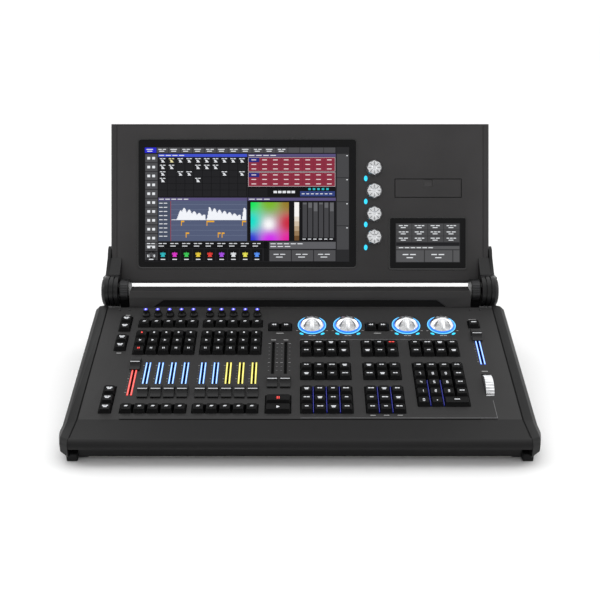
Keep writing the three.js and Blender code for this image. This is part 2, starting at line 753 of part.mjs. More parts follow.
function cheek(side) {
  const shoulder = cheekOutline(
    CHEEK_SHOULDER_DROP,
    CHEEK_SHOULDER_SETBACK,
    CHEEK_SHOULDER_RISE,
  );
  const sections = [
    [caseHalf - CHEEK_WIDTH, cheekOutline(0, 0, 0)],
    [caseHalf - CHEEK_WIDTH + CHEEK_SHOULDER, shoulder],
    [caseHalf, cheekOutline(CHEEK_OUTER_DROP, CHEEK_CORNER_CUT, CHEEK_BASE_RISE)],
  ];
  const placed = sections.map(([x, outline]) => [side * x, outline]);
  return alongX(loft(side < 0 ? placed.reverse() : placed));
}

const footOuter = caseHalf - FOOT_INSET;
const footRail = (side) =>
  block(
    Math.min(side * footOuter, side * (footOuter - FOOT_WIDTH)),
    Math.max(side * footOuter, side * (footOuter - FOOT_WIDTH)),
    frontY + FOOT_FRONT_SETBACK,
    rearY - FOOT_FRONT_SETBACK,
    0,
    CHEEK_BASE - GAP,
  );

for (const [word, side] of [
  ["left", -1],
  ["right", 1],
]) {
  addMesh(desk, `${word}_cheek`, cheek(side), "castCoat");
  addMesh(desk, `${word}_foot_rail`, footRail(side), "rubber");
}

// ---------------------------------------------------------------- bottom tray

const skirtY = frontY + SKIRT_SETBACK;
const trayHalf = caseHalf - TRAY_SIDE_INSET;

function bottomTray() {
  const skirtTop = ARMREST_HEIGHT - NOSE_RADIUS - SHEET - GAP;
  const floorTop = FLOOR_CLEARANCE + SHEET;
  const panelDrop = SHEET / Math.cos(DECK_SLOPE) + 2 * GAP;
  const folded = [
    [skirtY, skirtTop],
    [skirtY, FLOOR_CLEARANCE],
    [rearY, FLOOR_CLEARANCE],
    [rearY, shelfZ],
    [rearY - SHEET, shelfZ],
    [rearY - SHEET, floorTop],
    [skirtY + SHEET, floorTop],
    [skirtY + SHEET, skirtTop],
  ];
  const side = [
    [skirtY, FLOOR_CLEARANCE],
    [rearY, FLOOR_CLEARANCE],
    [rearY, shelfZ - SHEET - GAP],
    [deckRearY - SHEET, shelfZ - SHEET - GAP],
    [deckRearY - SHEET, deckRearZ - panelDrop - SHEET],
    [bendY, ARMREST_HEIGHT - panelDrop],
    [skirtY + SHEET, ARMREST_HEIGHT - panelDrop],
    [skirtY + SHEET, skirtTop],
    [skirtY, skirtTop],
  ];
  const wheelRoom = WHEEL_WIDTH / 2 + 2 * RUNNING;
  const wheelSlot = prism(
    circle(WHEEL_RADIUS + 2 * RUNNING, ROUND_SIDES).map(([y, z]) => [y - wheelRow, z - wheelDrop]),
    masterColumn - wheelRoom,
    masterColumn + wheelRoom,
  ).applyMatrix4(deck.matrix);
  const whole = joined([
    prism(folded, -trayHalf, trayHalf),
    prism(side, -trayHalf, -trayHalf + SHEET),
    prism(side, trayHalf - SHEET, trayHalf),
  ]);
  return cut(whole, [wheelSlot]);
}

addMesh(desk, "bottom_tray", bottomTray(), "castCoat");

// ---------------------------------------------------------------- rear housing

function rearHousing() {
  const footY = deckRearY + SHEET * Math.sin(DECK_SLOPE) + 2 * GAP;
  const footZ = deckRearZ - SHEET;
  const endY = rearY - SHEET - GAP;
  const underside = shelfZ - SHEET;
  const knee = [hingeY - HOUSING_REACH, hingeZ];
  const hump = [
    [footY, underside],
    [footY, footZ],
    knee,
    [hingeY - HOUSING_CREST_FRONT, hingeZ + HOUSING_CREST],
    [hingeY + HOUSING_CREST_REAR, hingeZ + HOUSING_CREST - HOUSING_CREST_FALL],
    [hingeY + HOUSING_BACK, shelfZ],
  ];
  const pocket = [
    [footY, footZ],
    [footY, underside],
    [endY, underside],
    [endY, shelfZ],
    [footY + SHEET, shelfZ],
    [footY + SHEET, footZ],
  ];
  const shell = prism(foldedSheet([...hump, [endY, shelfZ]], SHEET), -housingHalf, housingHalf);
  const ends = [-housingHalf, housingHalf - SHEET].map((x) =>
    prism([...hump, [hingeY + HOUSING_BACK, underside]], x, x + SHEET),
  );
  const pockets = [
    [-deckHalf, -housingHalf + SHEET],
    [housingHalf - SHEET, deckHalf],
  ].map(([from, to]) => prism(pocket, from, to));

  // The dark recess is a tapered panel let into the lower front face.
  const face = new THREE.Vector2(knee[0] - footY, knee[1] - footZ);
  const height = face.length() * RECESS_SHARE;
  const outline = [
    [-RECESS_HALF_WIDTH, SHEET],
    [RECESS_HALF_WIDTH, SHEET],
    [RECESS_HALF_WIDTH - RECESS_TAPER, height + SHEET],
    [-RECESS_HALF_WIDTH + RECESS_TAPER, height + SHEET],
  ];
  const recess = loft([
    [-RECESS_DEPTH, outline],
    [SHEET, outline],
  ]);
  recess.rotateX(face.angle()).translate(0, footY, footZ);
  return cut(joined([shell, ...ends, ...pockets]), [recess]);
}

addMesh(desk, "rear_housing", rearHousing(), "coat");

// ---------------------------------------------------------------- hinges

function hingeBarrel(side) {
  const round = circle(BARREL_RADIUS, ROUND_SIDES);
  const pin = circle(PIN_RADIUS, PIN_SIDES);
  const foot = rectangle(-BARREL_FOOT, BARREL_FOOT, shelfZ + GAP - hingeZ, 0);
  return joined([
    prism(round, side * barrelInner, side * barrelOuter),
    prism(foot, side * barrelInner, side * barrelOuter),
    prism(pin, side * (barrelOuter - 1), side * (drumOuter - BARREL_SPACING)),
  ]).translate(0, hingeY, hingeZ);
}

// The drum is grooved into three ribs and rounds over at its outer end; the lid hangs from it.
function hingeDrum(side) {
  const rib = (DRUM_WIDTH - 2 * DRUM_GROOVE) / 4;
  const groove = DRUM_RADIUS - DRUM_GROOVE;
  const steps = [
    [0, DRUM_RADIUS],
    [rib, DRUM_RADIUS],
    [rib, groove],
    [rib + DRUM_GROOVE, groove],
    [rib + DRUM_GROOVE, DRUM_RADIUS],
    [2 * rib + DRUM_GROOVE, DRUM_RADIUS],
    [2 * rib + DRUM_GROOVE, groove],
    [2 * rib + 2 * DRUM_GROOVE, groove],
    [2 * rib + 2 * DRUM_GROOVE, DRUM_RADIUS],
    [DRUM_WIDTH - rib, DRUM_RADIUS],
    [DRUM_WIDTH - rib / 3, DRUM_SHOULDER_RADIUS],
    [DRUM_WIDTH, DRUM_END_RADIUS],
  ];
  const sections = steps.map(([along, radius]) => [
    side * (drumInner + along),
    circle(radius, ROUND_SIDES),
  ]);
  return alongX(loft(side < 0 ? sections.reverse() : sections));
}

function hingeArm(side) {
  const lidFront = LID_FACE_BACK - GAP;
  const coverTop = LID_EDGE_UP + ARM_COVER_RISE;
  const plateTop = LID_EDGE_UP + ARM_PLATE_RISE;
  const plateInner = lidHalf + GAP;
  const plateOuter = plateInner + ARM_PLATE;
  const underLid = LID_EDGE_UP - GAP;
  const cover = [
    [0, -DRUM_RADIUS / 2],
    [DRUM_RADIUS, 0],
    [lidFront, underLid],
    [lidFront, coverTop],
    [DRUM_RADIUS / 2, DRUM_RADIUS + ARM_CROWN],
    [-DRUM_RADIUS / 3, DRUM_RADIUS - ARM_CROWN],
  ];
  const sidePlate = [
    [0, -DRUM_RADIUS / 2],
    [LID_FACE_BACK + ARM_PLATE_DEPTH, LID_EDGE_UP],
    [LID_FACE_BACK + ARM_PLATE_DEPTH, plateTop - LID_CHAMFER],
    [LID_FACE_BACK + ARM_PLATE_DEPTH - LID_CHAMFER, plateTop],
    [LID_FACE_BACK + LID_CHAMFER, plateTop],
    [LID_FACE_BACK, plateTop - LID_CHAMFER],
    [lidFront - ARM_STEP, coverTop],
    [DRUM_RADIUS / 2, DRUM_RADIUS + ARM_CROWN],
    [-DRUM_RADIUS / 3, DRUM_RADIUS - ARM_CROWN],
  ];
  const whole = joined([
    hingeDrum(side),
    prism(cover, side * (lidHalf - ARM_COVER_WIDTH), side * plateOuter),
    prism(sidePlate, side * plateInner, side * plateOuter),
  ]);
  const bore = prism(
    circle(PIN_RADIUS + RUNNING, PIN_SIDES),
    side * (drumInner - 1),
    side * (drumOuter - BARREL_SPACING + RUNNING),
  );
  return cut(whole, [bore]);
}

for (const [word, side] of [
  ["left", -1],
  ["right", 1],
]) {
  addMesh(desk, `${word}_hinge_barrel`, hingeBarrel(side), "castCoat");
  addMesh(lid, `${word}_hinge_arm`, hingeArm(side), "castCoat");
}

// ---------------------------------------------------------------- lid

// Edges of a piece that is placed from one side of the lid, in the lid's frame.
function lidEdges({ left, right, bottom, width, height }) {
  const start = left === undefined ? lidHalf - right - width : -lidHalf + left;
  return [start, start + width, LID_EDGE_UP + bottom, LID_EDGE_UP + bottom + height];
}

const grown = ([left, right, low, high], by) => [left - by, right + by, low - by, high + by];

// A flat piece drawn in the lid's face and built back from a depth behind it.
const facePlate = (shape, depth, thickness) =>
  plate(shape, thickness)
    .rotateX(Math.PI / 2)
    .translate(0, LID_FACE_BACK + depth + thickness, 0);

const screenKnobX = lidHalf - SCREEN_KNOB_RIGHT;
const screenKnobHeights = Array.from(
  { length: SCREEN_KNOB_COUNT },
  (_, i) => LID_EDGE_UP + SCREEN_KNOB_BOTTOM + (SCREEN_KNOB_COUNT - 1 - i) * SCREEN_KNOB_PITCH,
);

// The rear shell is a tray with chamfered rear edges; its side bands turn in over the face.
function lidRearShell() {
  const side = lidHalf - LID_WALL;
  const back = LID_FACE_BACK + LID_DEPTH;
  const outer = (inset) =>
    rectangle(-lidHalf + inset, lidHalf - inset, LID_EDGE_UP + inset, lidTop - inset);
  const inner = (inset) =>
    rectangle(-side + inset, side - inset, LID_EDGE_UP + LID_WALL + inset, lidTop - LID_WALL - inset);
  const faceDown = (geometry) => geometry.rotateX(Math.PI / 2);
  const body = faceDown(
    loft([
      [-back, outer(LID_CHAMFER)],
      [-back + LID_CHAMFER, outer(0)],
      [-LID_FACE_BACK - LID_RIM_DEPTH, outer(0)],
      [-LID_FACE_BACK, outer(LID_RIM_INSET)],
    ]),
  );
  const hollow = faceDown(
    loft([
      [-back + LID_WALL, inner(LID_CHAMFER)],
      [-back + LID_WALL + LID_CHAMFER, inner(0)],
      [-LID_FACE_BACK - SHEET - GAP, inner(0)],
    ]),
  );
  const mouthHalf = lidHalf - LID_BAND;
  const opening = rectangle(-mouthHalf, mouthHalf, LID_EDGE_UP + LID_WALL, lidTop - LID_WALL);
  const mouth = faceDown(
    loft([
      [-LID_FACE_BACK - 2 * SHEET, opening],
      [-LID_FACE_BACK + SHEET, opening],
    ]),
  );
  return cut(body, [hollow, mouth]);
}

function lidFrontPanel() {
  const half = lidHalf - LID_BAND - GAP;
  const low = LID_EDGE_UP + LID_WALL + GAP;
  const high = lidTop - LID_WALL - GAP;
  const through = (shape) => facePlate(shape, -SHEET, 3 * SHEET);
  const windows = [MAIN_GLASS, SIDE_GLASS].map((glass) =>
    through(roundedRectangle(...grown(lidEdges(glass), GAP), glass.corner + GAP)),
  );
  const hatchWindow = through(
    roundedRectangle(...grown(lidEdges(HATCH), RUNNING), HATCH.corner + RUNNING),
  );
  const shaftHoles = screenKnobHeights.map((height) =>
    through(
      new THREE.Shape(
        outlineVectors(
          circle(SHAFT_RADIUS + 2 * RUNNING, SHAFT_SIDES).map(([a, b]) => [a + screenKnobX, b + height]),
        ),
      ),
    ),
  );
  const whole = facePlate(
    new THREE.Shape(outlineVectors(rectangle(-half, half, low, high))),
    0,
    SHEET,
  );
  return cut(whole, [...windows, hatchWindow, ...shaftHoles]);
}

const glassPanel = (glass) =>
  facePlate(roundedRectangle(...lidEdges(glass), glass.corner), GLASS_RECESS, GLASS_THICKNESS);

// The hatch turns on its lower front edge, and has a finger notch in its upper edge.
function hatchPlate() {
  const [left, right, low, high] = lidEdges(HATCH);
  const middle = (left + right) / 2;
  const body = facePlate(roundedRectangle(left, right, low, high, HATCH.corner), 0, SHEET);
  const notch = facePlate(
    roundedRectangle(
      middle - HATCH_NOTCH_WIDTH / 2,
      middle + HATCH_NOTCH_WIDTH / 2,
      high - HATCH_NOTCH_DEPTH,
      high + HATCH_NOTCH_DEPTH,
      HATCH.corner,
    ),
    -SHEET,
    3 * SHEET,
  );
  return cut(body, [notch]);
}

function screenKnob() {
  const body = loft([
    [RUNNING, circle(SCREEN_KNOB_RADIUS, SCREEN_KNOB_SIDES)],
    [SCREEN_KNOB_SHOULDER, circle(SCREEN_KNOB_SHOULDER_RADIUS, SCREEN_KNOB_SIDES)],
    [SCREEN_KNOB_HEIGHT, circle(SCREEN_KNOB_TOP_RADIUS, SCREEN_KNOB_SIDES)],
  ]);
  return joined([body, shaft(-SHAFT_DEPTH, RUNNING + 1)]);
}

addMesh(lid, "lid_rear_shell", lidRearShell(), "lidCoat");
addMesh(lid, "lid_front_panel", lidFrontPanel(), "lidCoat");
addMesh(lid, "main_screen", glassPanel(MAIN_GLASS), "glass");
addMesh(lid, "side_screen", glassPanel(SIDE_GLASS), "glass");
addMesh(lid, "drive_hatch", hatchPlate(), "lidCoat");
screenKnobHeights.forEach((height, i) => {
  const knob = addMesh(lid, `screen_encoder_${i + 1}`, screenKnob(), "silver");
  knob.position.set(screenKnobX, LID_FACE_BACK, height);
  knob.rotation.x = Math.PI / 2;
});

// ---------------------------------------------------------------- inside the case

// The control board carries the fader tracks, the encoder bodies and the ears of the wheel.
function controlBoard() {
  const boardHalf = deckHalf - BOARD_SIDE_MARGIN;
  const boardTop = -BOARD_DEPTH;
  const low = boardTop - BOARD_THICKNESS / 2;
  const trackEnd = STEM_LENGTH / 2 + TRACK_END;
  const base = block(
    -boardHalf,
    boardHalf,
    -DECK_LENGTH + BOARD_END_MARGIN,
    -BOARD_END_MARGIN,
    boardTop - BOARD_THICKNESS,
    boardTop,
  );
  const tracks = FADERS.map(({ x, top, bottom }) =>
    block(
      x - TRACK_WIDTH / 2,
      x + TRACK_WIDTH / 2,
      -bottom - trackEnd,
      -top + trackEnd,
      low,
      -STEM_DEPTH - RUNNING,
    ),
  );
  const bodyHalf = KNOB_RADIUS;
  const bodies = [
    ...encoderColumns.map((x) => [x, ENCODER_ROW]),
    ...playbackColumns.map((x) => [x, KNOB_ROW]),
  ].map(([x, v]) =>
    block(
      x - bodyHalf,
      x + bodyHalf,
      -v - bodyHalf,
      -v + bodyHalf,
      low,
      -SHAFT_DEPTH - RUNNING,
    ),
  );
  const earInner = WHEEL_WIDTH / 2 + earGap;
  const earHalf = 2 * SHAFT_RADIUS;
  const ears = [-1, 1].map((side) =>
    block(
      masterColumn + Math.min(side * earInner, side * (earInner + EAR_THICKNESS)),
      masterColumn + Math.max(side * earInner, side * (earInner + EAR_THICKNESS)),
      -wheelRow - earHalf,
      -wheelRow + earHalf,
      low,
      -wheelDrop + earHalf,
    ),
  );
  const wheelWell = block(
    masterColumn - earInner + GAP,
    masterColumn + earInner - GAP,
    -wheelRow - WHEEL_RADIUS - RUNNING,
    -wheelRow + WHEEL_RADIUS + RUNNING,
    boardTop - 2 * BOARD_THICKNESS,
    -STEM_DEPTH,
  );
  const axleBore = prism(
    circle(SHAFT_RADIUS + RUNNING, SHAFT_SIDES).map(([y, z]) => [y - wheelRow, z - wheelDrop]),
    masterColumn - axleHalf - 1,
    masterColumn + axleHalf + 1,
  );
  return cut(joined([base, ...tracks, ...bodies, ...ears]), [wheelWell, axleBore]);
}

addMesh(deck, "control_board", controlBoard(), "board");

const trayFloor = FLOOR_CLEARANCE + SHEET;

function mainBoard() {
  const { width, depth, up } = MAIN_BOARD;
  const middle = up + BOARD_THICKNESS / 2;
  const pillars = [-1, 1].flatMap((a) =>
    [-1, 1].map((b) => {
      const x = a * (width / 2 - PILLAR_INSET);
      const y = b * (depth / 2 - PILLAR_INSET);
      return block(
        x - PILLAR_HALF,
        x + PILLAR_HALF,
        y - PILLAR_HALF,
        y + PILLAR_HALF,
        GAP,
        middle,
      );
    }),
  );
  const { half, halfDepth, rise } = HEAT_SINK;
  const heatSink = block(-half, half, -halfDepth, halfDepth, middle, up + rise);
  const boardPlate = block(-width / 2, width / 2, -depth / 2, depth / 2, up, up + BOARD_THICKNESS);
  return joined([boardPlate, heatSink, ...pillars]);
}

function powerSupply() {
  const { width, depth, height, up } = POWER_SUPPLY;
  return block(-width / 2, width / 2, -depth / 2, depth / 2, up, up + height);
}

addMesh(desk, "main_board", mainBoard(), "board").position.set(
  MAIN_BOARD.x,
  MAIN_BOARD.y,
  trayFloor,
);
addMesh(desk, "power_supply", powerSupply(), "aluminium").position.set(
  POWER_SUPPLY.x,
  POWER_SUPPLY.y,
  trayFloor,
);

export default desk;
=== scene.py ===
import json
import math

import bmesh
import bpy
from mathutils import Matrix, Vector

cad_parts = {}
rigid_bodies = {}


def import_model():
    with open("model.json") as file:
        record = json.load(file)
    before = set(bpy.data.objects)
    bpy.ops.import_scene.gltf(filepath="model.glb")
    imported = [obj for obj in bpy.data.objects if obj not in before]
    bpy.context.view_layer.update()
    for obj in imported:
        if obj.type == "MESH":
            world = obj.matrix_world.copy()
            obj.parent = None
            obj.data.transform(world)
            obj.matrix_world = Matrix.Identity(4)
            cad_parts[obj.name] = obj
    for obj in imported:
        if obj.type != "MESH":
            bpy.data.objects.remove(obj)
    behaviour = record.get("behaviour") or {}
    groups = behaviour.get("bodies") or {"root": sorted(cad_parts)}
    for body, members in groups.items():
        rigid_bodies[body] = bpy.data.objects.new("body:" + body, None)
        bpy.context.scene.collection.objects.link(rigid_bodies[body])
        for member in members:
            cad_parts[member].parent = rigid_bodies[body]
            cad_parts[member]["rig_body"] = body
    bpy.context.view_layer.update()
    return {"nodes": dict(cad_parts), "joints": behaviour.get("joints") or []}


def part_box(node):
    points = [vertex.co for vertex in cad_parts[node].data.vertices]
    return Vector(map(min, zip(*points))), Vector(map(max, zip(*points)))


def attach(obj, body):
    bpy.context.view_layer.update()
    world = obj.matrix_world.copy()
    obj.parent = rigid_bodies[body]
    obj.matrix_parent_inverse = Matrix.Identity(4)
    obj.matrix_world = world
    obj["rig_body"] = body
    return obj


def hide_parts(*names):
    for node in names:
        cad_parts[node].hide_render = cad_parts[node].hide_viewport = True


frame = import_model()

# ---------------------------------------------------------------- studio
# A seamless pale paper floor in white air that darkens towards the front. A softbox overhead, one
# in front and a strip at each side draw the black casing, and a camera stands before the desk.

studio = bpy.context.scene
studio.view_settings.view_transform = "Standard"
camera = bpy.data.objects.new("camera", bpy.data.cameras.new("camera"))
camera.location = (0, -1.3385, 0.692)
camera.rotation_euler = (math.radians(67.5), 0, 0)
camera.data.lens = 56
camera.data.sensor_width = 36
studio.collection.objects.link(camera)
studio.camera = camera


def softbox(name, place, target, width, depth, watts):
    """A rectangular area light at a place, aimed at a target."""
    light = bpy.data.lights.new(name, "AREA")
    light.shape = "RECTANGLE"
    light.size = width
    light.size_y = depth
    light.energy = watts
    box = bpy.data.objects.new(name, light)
    box.location = place
    aim = Vector(target) - Vector(place)
    box.rotation_euler = aim.to_track_quat("-Z", "Y").to_euler()
    studio.collection.objects.link(box)


softbox("overhead", (0, 0.15, 1.9), (0, 0.05, 0), 2.2, 1.5, 4)
softbox("front_fill", (0, -2.2, 1.5), (0, 0, 0.15), 2.4, 0.9, 4)
softbox("left_strip", (-1.7, -0.2, 0.7), (0, 0, 0.15), 0.3, 1.8, 5)
softbox("right_strip", (1.7, -0.2, 0.7), (0, 0, 0.15), 0.3, 1.8, 5)

sky = bpy.data.worlds.new("studio_air")
sky.use_nodes = True
air = sky.node_tree.nodes["Background"]
air.inputs["Strength"].default_value = 1.0
heading = sky.node_tree.nodes.new("ShaderNodeTexCoord")
split = sky.node_tree.nodes.new("ShaderNodeSeparateXYZ")
climb = sky.node_tree.nodes.new("ShaderNodeMapRange")
climb.inputs["From Min"].default_value = -0.85
climb.inputs["From Max"].default_value = 0.15
climb.inputs["To Min"].default_value = 0.42
climb.inputs["To Max"].default_value = 1.28
sky.node_tree.links.new(heading.outputs["Generated"], split.inputs["Vector"])
sky.node_tree.links.new(split.outputs["Y"], climb.inputs["Value"])
sky.node_tree.links.new(climb.outputs["Result"], air.inputs["Color"])
studio.world = sky


def finish(name, colour, rough, metal=0.0, gloss=0.5):
    """A new procedural material, and its shader."""
    material = bpy.data.materials.new(name)
    material.use_nodes = True
    shader = material.node_tree.nodes["Principled BSDF"]
    shader.inputs["Base Color"].default_value = (*colour, 1)
    shader.inputs["Roughness"].default_value = rough
    shader.inputs["Metallic"].default_value = metal
    shader.inputs["Specular IOR Level"].default_value = gloss
    return material, shader


def grain(material, size, stretch=(1, 1, 1), detail=3):
    """A noise in the piece's own space, its grains that size across; gives its factor output."""
    tree = material.node_tree
    place = tree.nodes.new("ShaderNodeTexCoord")
    scale = tree.nodes.new("ShaderNodeMapping")
    scale.inputs["Scale"].default_value = [share / size for share in stretch]
    noise = tree.nodes.new("ShaderNodeTexNoise")
    noise.inputs["Scale"].default_value = 1
    noise.inputs["Detail"].default_value = detail
    tree.links.new(place.outputs["Object"], scale.inputs["Vector"])
    tree.links.new(scale.outputs["Vector"], noise.inputs["Vector"])
    return noise.outputs["Fac"]


def toned(material, shader, factor, dark, light):
    """Runs the base colour from dark to light with a factor."""
    ramp = material.node_tree.nodes.new("ShaderNodeValToRGB")
    ramp.color_ramp.elements[0].position = 0.3
    ramp.color_ramp.elements[0].color = (*dark, 1)
    ramp.color_ramp.elements[1].position = 0.7
    ramp.color_ramp.elements[1].color = (*light, 1)
    material.node_tree.links.new(factor, ramp.inputs["Fac"])
    material.node_tree.links.new(ramp.outputs["Color"], shader.inputs["Base Color"])


def roughened(material, shader, factor, low, high):
    """Runs the roughness from low to high with a factor."""
    spread = material.node_tree.nodes.new("ShaderNodeMapRange")
    spread.inputs["From Min"].default_value = 0.3
    spread.inputs["From Max"].default_value = 0.7
    spread.inputs["To Min"].default_value = low
    spread.inputs["To Max"].default_value = high
    material.node_tree.links.new(factor, spread.inputs["Value"])
    material.node_tree.links.new(spread.outputs["Result"], shader.inputs["Roughness"])


def pebbled(material, shader, factor, height, strength=0.5):
    """Raises the surface by a factor, with that height in metres."""
    bump = material.node_tree.nodes.new("ShaderNodeBump")
    bump.inputs["Distance"].default_value = height
    bump.inputs["Strength"].default_value = strength
    material.node_tree.links.new(factor, bump.inputs["Height"])
    material.node_tree.links.new(bump.outputs["Normal"], shader.inputs["Normal"])


FLOOR_SIZE = 12
paper, paper_shader = finish("seamless_paper", (0.98, 0.98, 0.98), 0.9, gloss=0.1)
toned(paper, paper_shader, grain(paper, 0.25), (0.975, 0.975, 0.975), (0.985, 0.985, 0.985))
floor_mesh = bpy.data.meshes.new("floor")
half_floor = FLOOR_SIZE / 2
floor_mesh.from_pydata(
    [
        (-half_floor, -half_floor, 0),
        (half_floor, -half_floor, 0),
        (half_floor, half_floor, 0),
        (-half_floor, half_floor, 0),
    ],
    [],
    [(0, 1, 2, 3)],
)
floor_mesh.materials.append(paper)
floor = bpy.data.objects.new("floor", floor_mesh)
studio.collection.objects.link(floor)

# ---------------------------------------------------------------- foot rails
# Two strips of moulded black rubber along the undersides of the cheeks. They carry the desk and
# are glued into shallow channels.


def made(name, bm, material, body, place=None, soft=0.0, steps=2):
    """A piece from a bmesh: its edges rounded by soft metres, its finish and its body."""
    bmesh.ops.recalc_face_normals(bm, faces=bm.faces)
    if place is not None:
        bm.transform(place)
    mesh = bpy.data.meshes.new(name)
    bm.to_mesh(mesh)
    bm.free()
    mesh.materials.append(material)
    mesh.shade_smooth()
    mesh.set_sharp_from_angle(angle=math.radians(32))
    piece = bpy.data.objects.new(name, mesh)
    studio.collection.objects.link(piece)
    if soft:
        rounding = piece.modifiers.new("rounding", "BEVEL")
        rounding.width = soft
        rounding.segments = steps
        rounding.limit_method = "ANGLE"
        rounding.angle_limit = math.radians(32)
        rounding.harden_normals = True
    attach(piece, body)
    return piece


def eased(node, material, soft, steps=2):
    """A copy of a CAD solid, flat faces whole and edges eased, that stands for the node."""
    solid = frame["nodes"][node]
    bm = bmesh.new()
    bm.from_mesh(solid.data)
    bmesh.ops.remove_doubles(bm, verts=bm.verts, dist=0.00001)
    bmesh.ops.dissolve_limit(
        bm, angle_limit=math.radians(0.4), verts=bm.verts, edges=bm.edges
    )
    piece = made(node + "_finished", bm, material, solid["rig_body"], None, soft, steps)
    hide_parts(node)
    return piece


rubber, rubber_shader = finish("black_rubber", (0.01, 0.01, 0.01), 0.8, gloss=0.2)
rubber_grain = grain(rubber, 0.0011)
toned(rubber, rubber_shader, rubber_grain, (0.006, 0.006, 0.006), (0.014, 0.014, 0.0145))
pebbled(rubber, rubber_shader, rubber_grain, 0.0002)
for side in ("left", "right"):
    eased(side + "_foot_rail", rubber, 0.0016, 3)

# ---------------------------------------------------------------- bottom tray
# A folded steel tray, black powder coat. Its front wall is the dark skirt under the armrest, with
# a USB socket; its rear wall carries the connectors, and its floor has vents and screws.


def powder_coat(name, colour, rough, size=0.0007, height=0.00009, gloss=0.3):
    """Satin powder coat: fine orange peel, a slow drift of tone, edges rubbed a little paler."""
    material, shader = finish(name, colour, rough, gloss=gloss)
    tree = material.node_tree
    peel = grain(material, size)
    drift = grain(material, 0.09, detail=5)
    toned(material, shader, drift, [c * 0.86 for c in colour], [c * 1.14 for c in colour])
    toned_colour = shader.inputs["Base Color"].links[0].from_socket
    edges = tree.nodes.new("ShaderNodeNewGeometry")
    rubbed = tree.nodes.new("ShaderNodeMapRange")
    rubbed.inputs["From Min"].default_value = 0.53
    rubbed.inputs["From Max"].default_value = 0.68
    rubbed.inputs["To Max"].default_value = 0.45
    worn = tree.nodes.new("ShaderNodeMix")
    worn.data_type = "RGBA"
    tree.links.new(edges.outputs["Pointiness"], rubbed.inputs["Value"])
    tree.links.new(rubbed.outputs["Result"], worn.inputs["Factor"])
    tree.links.new(toned_colour, worn.inputs["A"])
    worn.inputs["B"].default_value = (*[c * 2 + 0.012 for c in colour], 1)
    tree.links.new(worn.outputs["Result"], shader.inputs["Base Color"])
    roughened(material, shader, drift, rough - 0.06, rough + 0.06)
    pebbled(material, shader, peel, height)
    return material


def slab(bm, outline, low, high, place=None, tint=None):
    """A closed flat piece with an outline of (x, y) points, between two heights."""
    turn = place or Matrix()
    rings = [[bm.verts.new(turn @ Vector((x, y, z))) for x, y in outline] for z in (low, high)]
    bm.faces.new(rings[0][::-1])
    bm.faces.new(rings[1])
    for i in range(len(outline)):
        j = (i + 1) % len(outline)
        bm.faces.new((rings[0][i], rings[0][j], rings[1][j], rings[1][i]))
    if tint is not None:
        layer = bm.verts.layers.float_color["tint"]
        for vert in rings[0] + rings[1]:
            vert[layer] = (*tint, 1)


def oblong(x, y, width, length, radius=0.0, points=5):
    """The outline of a rectangle about (x, y), with rounded corners if it has a radius."""
    if not radius:
        radius, points = 0.0, 1
    outline = []
    for corner in range(4):
        turn = corner * math.pi / 2
        side = 1 if corner in (0, 3) else -1
        end = 1 if corner in (0, 1) else -1
        middle = (x + side * (width / 2 - radius), y + end * (length / 2 - radius))
        for i in range(points):
            swing = turn + math.pi / 2 * (i / (points - 1) if points > 1 else 0)
            outline.append(
                (middle[0] + radius * math.cos(swing), middle[1] + radius * math.sin(swing))
            )
    return outline


def disc(x, y, radius, points=24, second=None):
    """The outline of a circle, or of an ellipse with a second radius."""
    return [
        (
            x + radius * math.cos(2 * math.pi * i / points),
            y + (second or radius) * math.sin(2 * math.pi * i / points),
        )
        for i in range(points)
    ]


def turned(bm, profile, place=None, points=32, reach=None):
    """A closed turned piece: (radius, height) from its lower middle to its upper middle."""
    turn = place or Matrix()
    rings = []
    for radius, height in profile:
        ring = []
        for i in range(points):
            angle = 2 * math.pi * i / points
            out = radius if reach is None else reach(radius, height, angle)
            spot = Vector((out * math.cos(angle), out * math.sin(angle), height))
            ring.append(bm.verts.new(turn @ spot))
        rings.append(ring)
    for lower, upper in zip(rings, rings[1:]):
        for i in range(points):
            j = (i + 1) % points
            bm.faces.new((lower[i], lower[j], upper[j], upper[i]))
    bm.faces.new(rings[0][::-1])
    bm.faces.new(rings[-1])


BLACK = (0.005, 0.005, 0.0052)
black_coat = powder_coat("black_powder_coat", BLACK, 0.5)
eased("bottom_tray", black_coat, 0.0006)
tray_low, tray_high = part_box("bottom_tray")


def grained(name, colour, rough, size, spread, height, metal=0.0, gloss=0.5, stretch=(1, 1, 1)):
    """A plain finish whose roughness and fine relief follow one grain."""
    material, shader = finish(name, colour, rough, metal, gloss)
    factor = grain(material, size, stretch)
    roughened(material, shader, factor, *spread)
    pebbled(material, shader, factor, height)
    return material


bright_metal = grained("nickel_plate", (0.55, 0.54, 0.52), 0.28, 0.004, (0.2, 0.38), 0.00003,
                       metal=1, stretch=(1, 12, 1))
# Black socket plastic; also laid flat over holes and recesses as their painted shade.
plastic_and_hole_shade = grained("socket_plastic", (0.012, 0.012, 0.013), 0.45, 0.0009, (0.38, 0.55),
                       0.00004)

# Outlines on the skirt and on the rear wall are drawn as seen from outside, at (x, height).
skirt = Matrix.Translation((0, tray_low.y, 0)) @ Matrix.Rotation(math.pi / 2, 4, "X")
rear_wall = (
    Matrix.Translation((0, tray_high.y, 0))
    @ Matrix.Rotation(math.pi, 4, "Z")
    @ Matrix.Rotation(math.pi / 2, 4, "X")
)


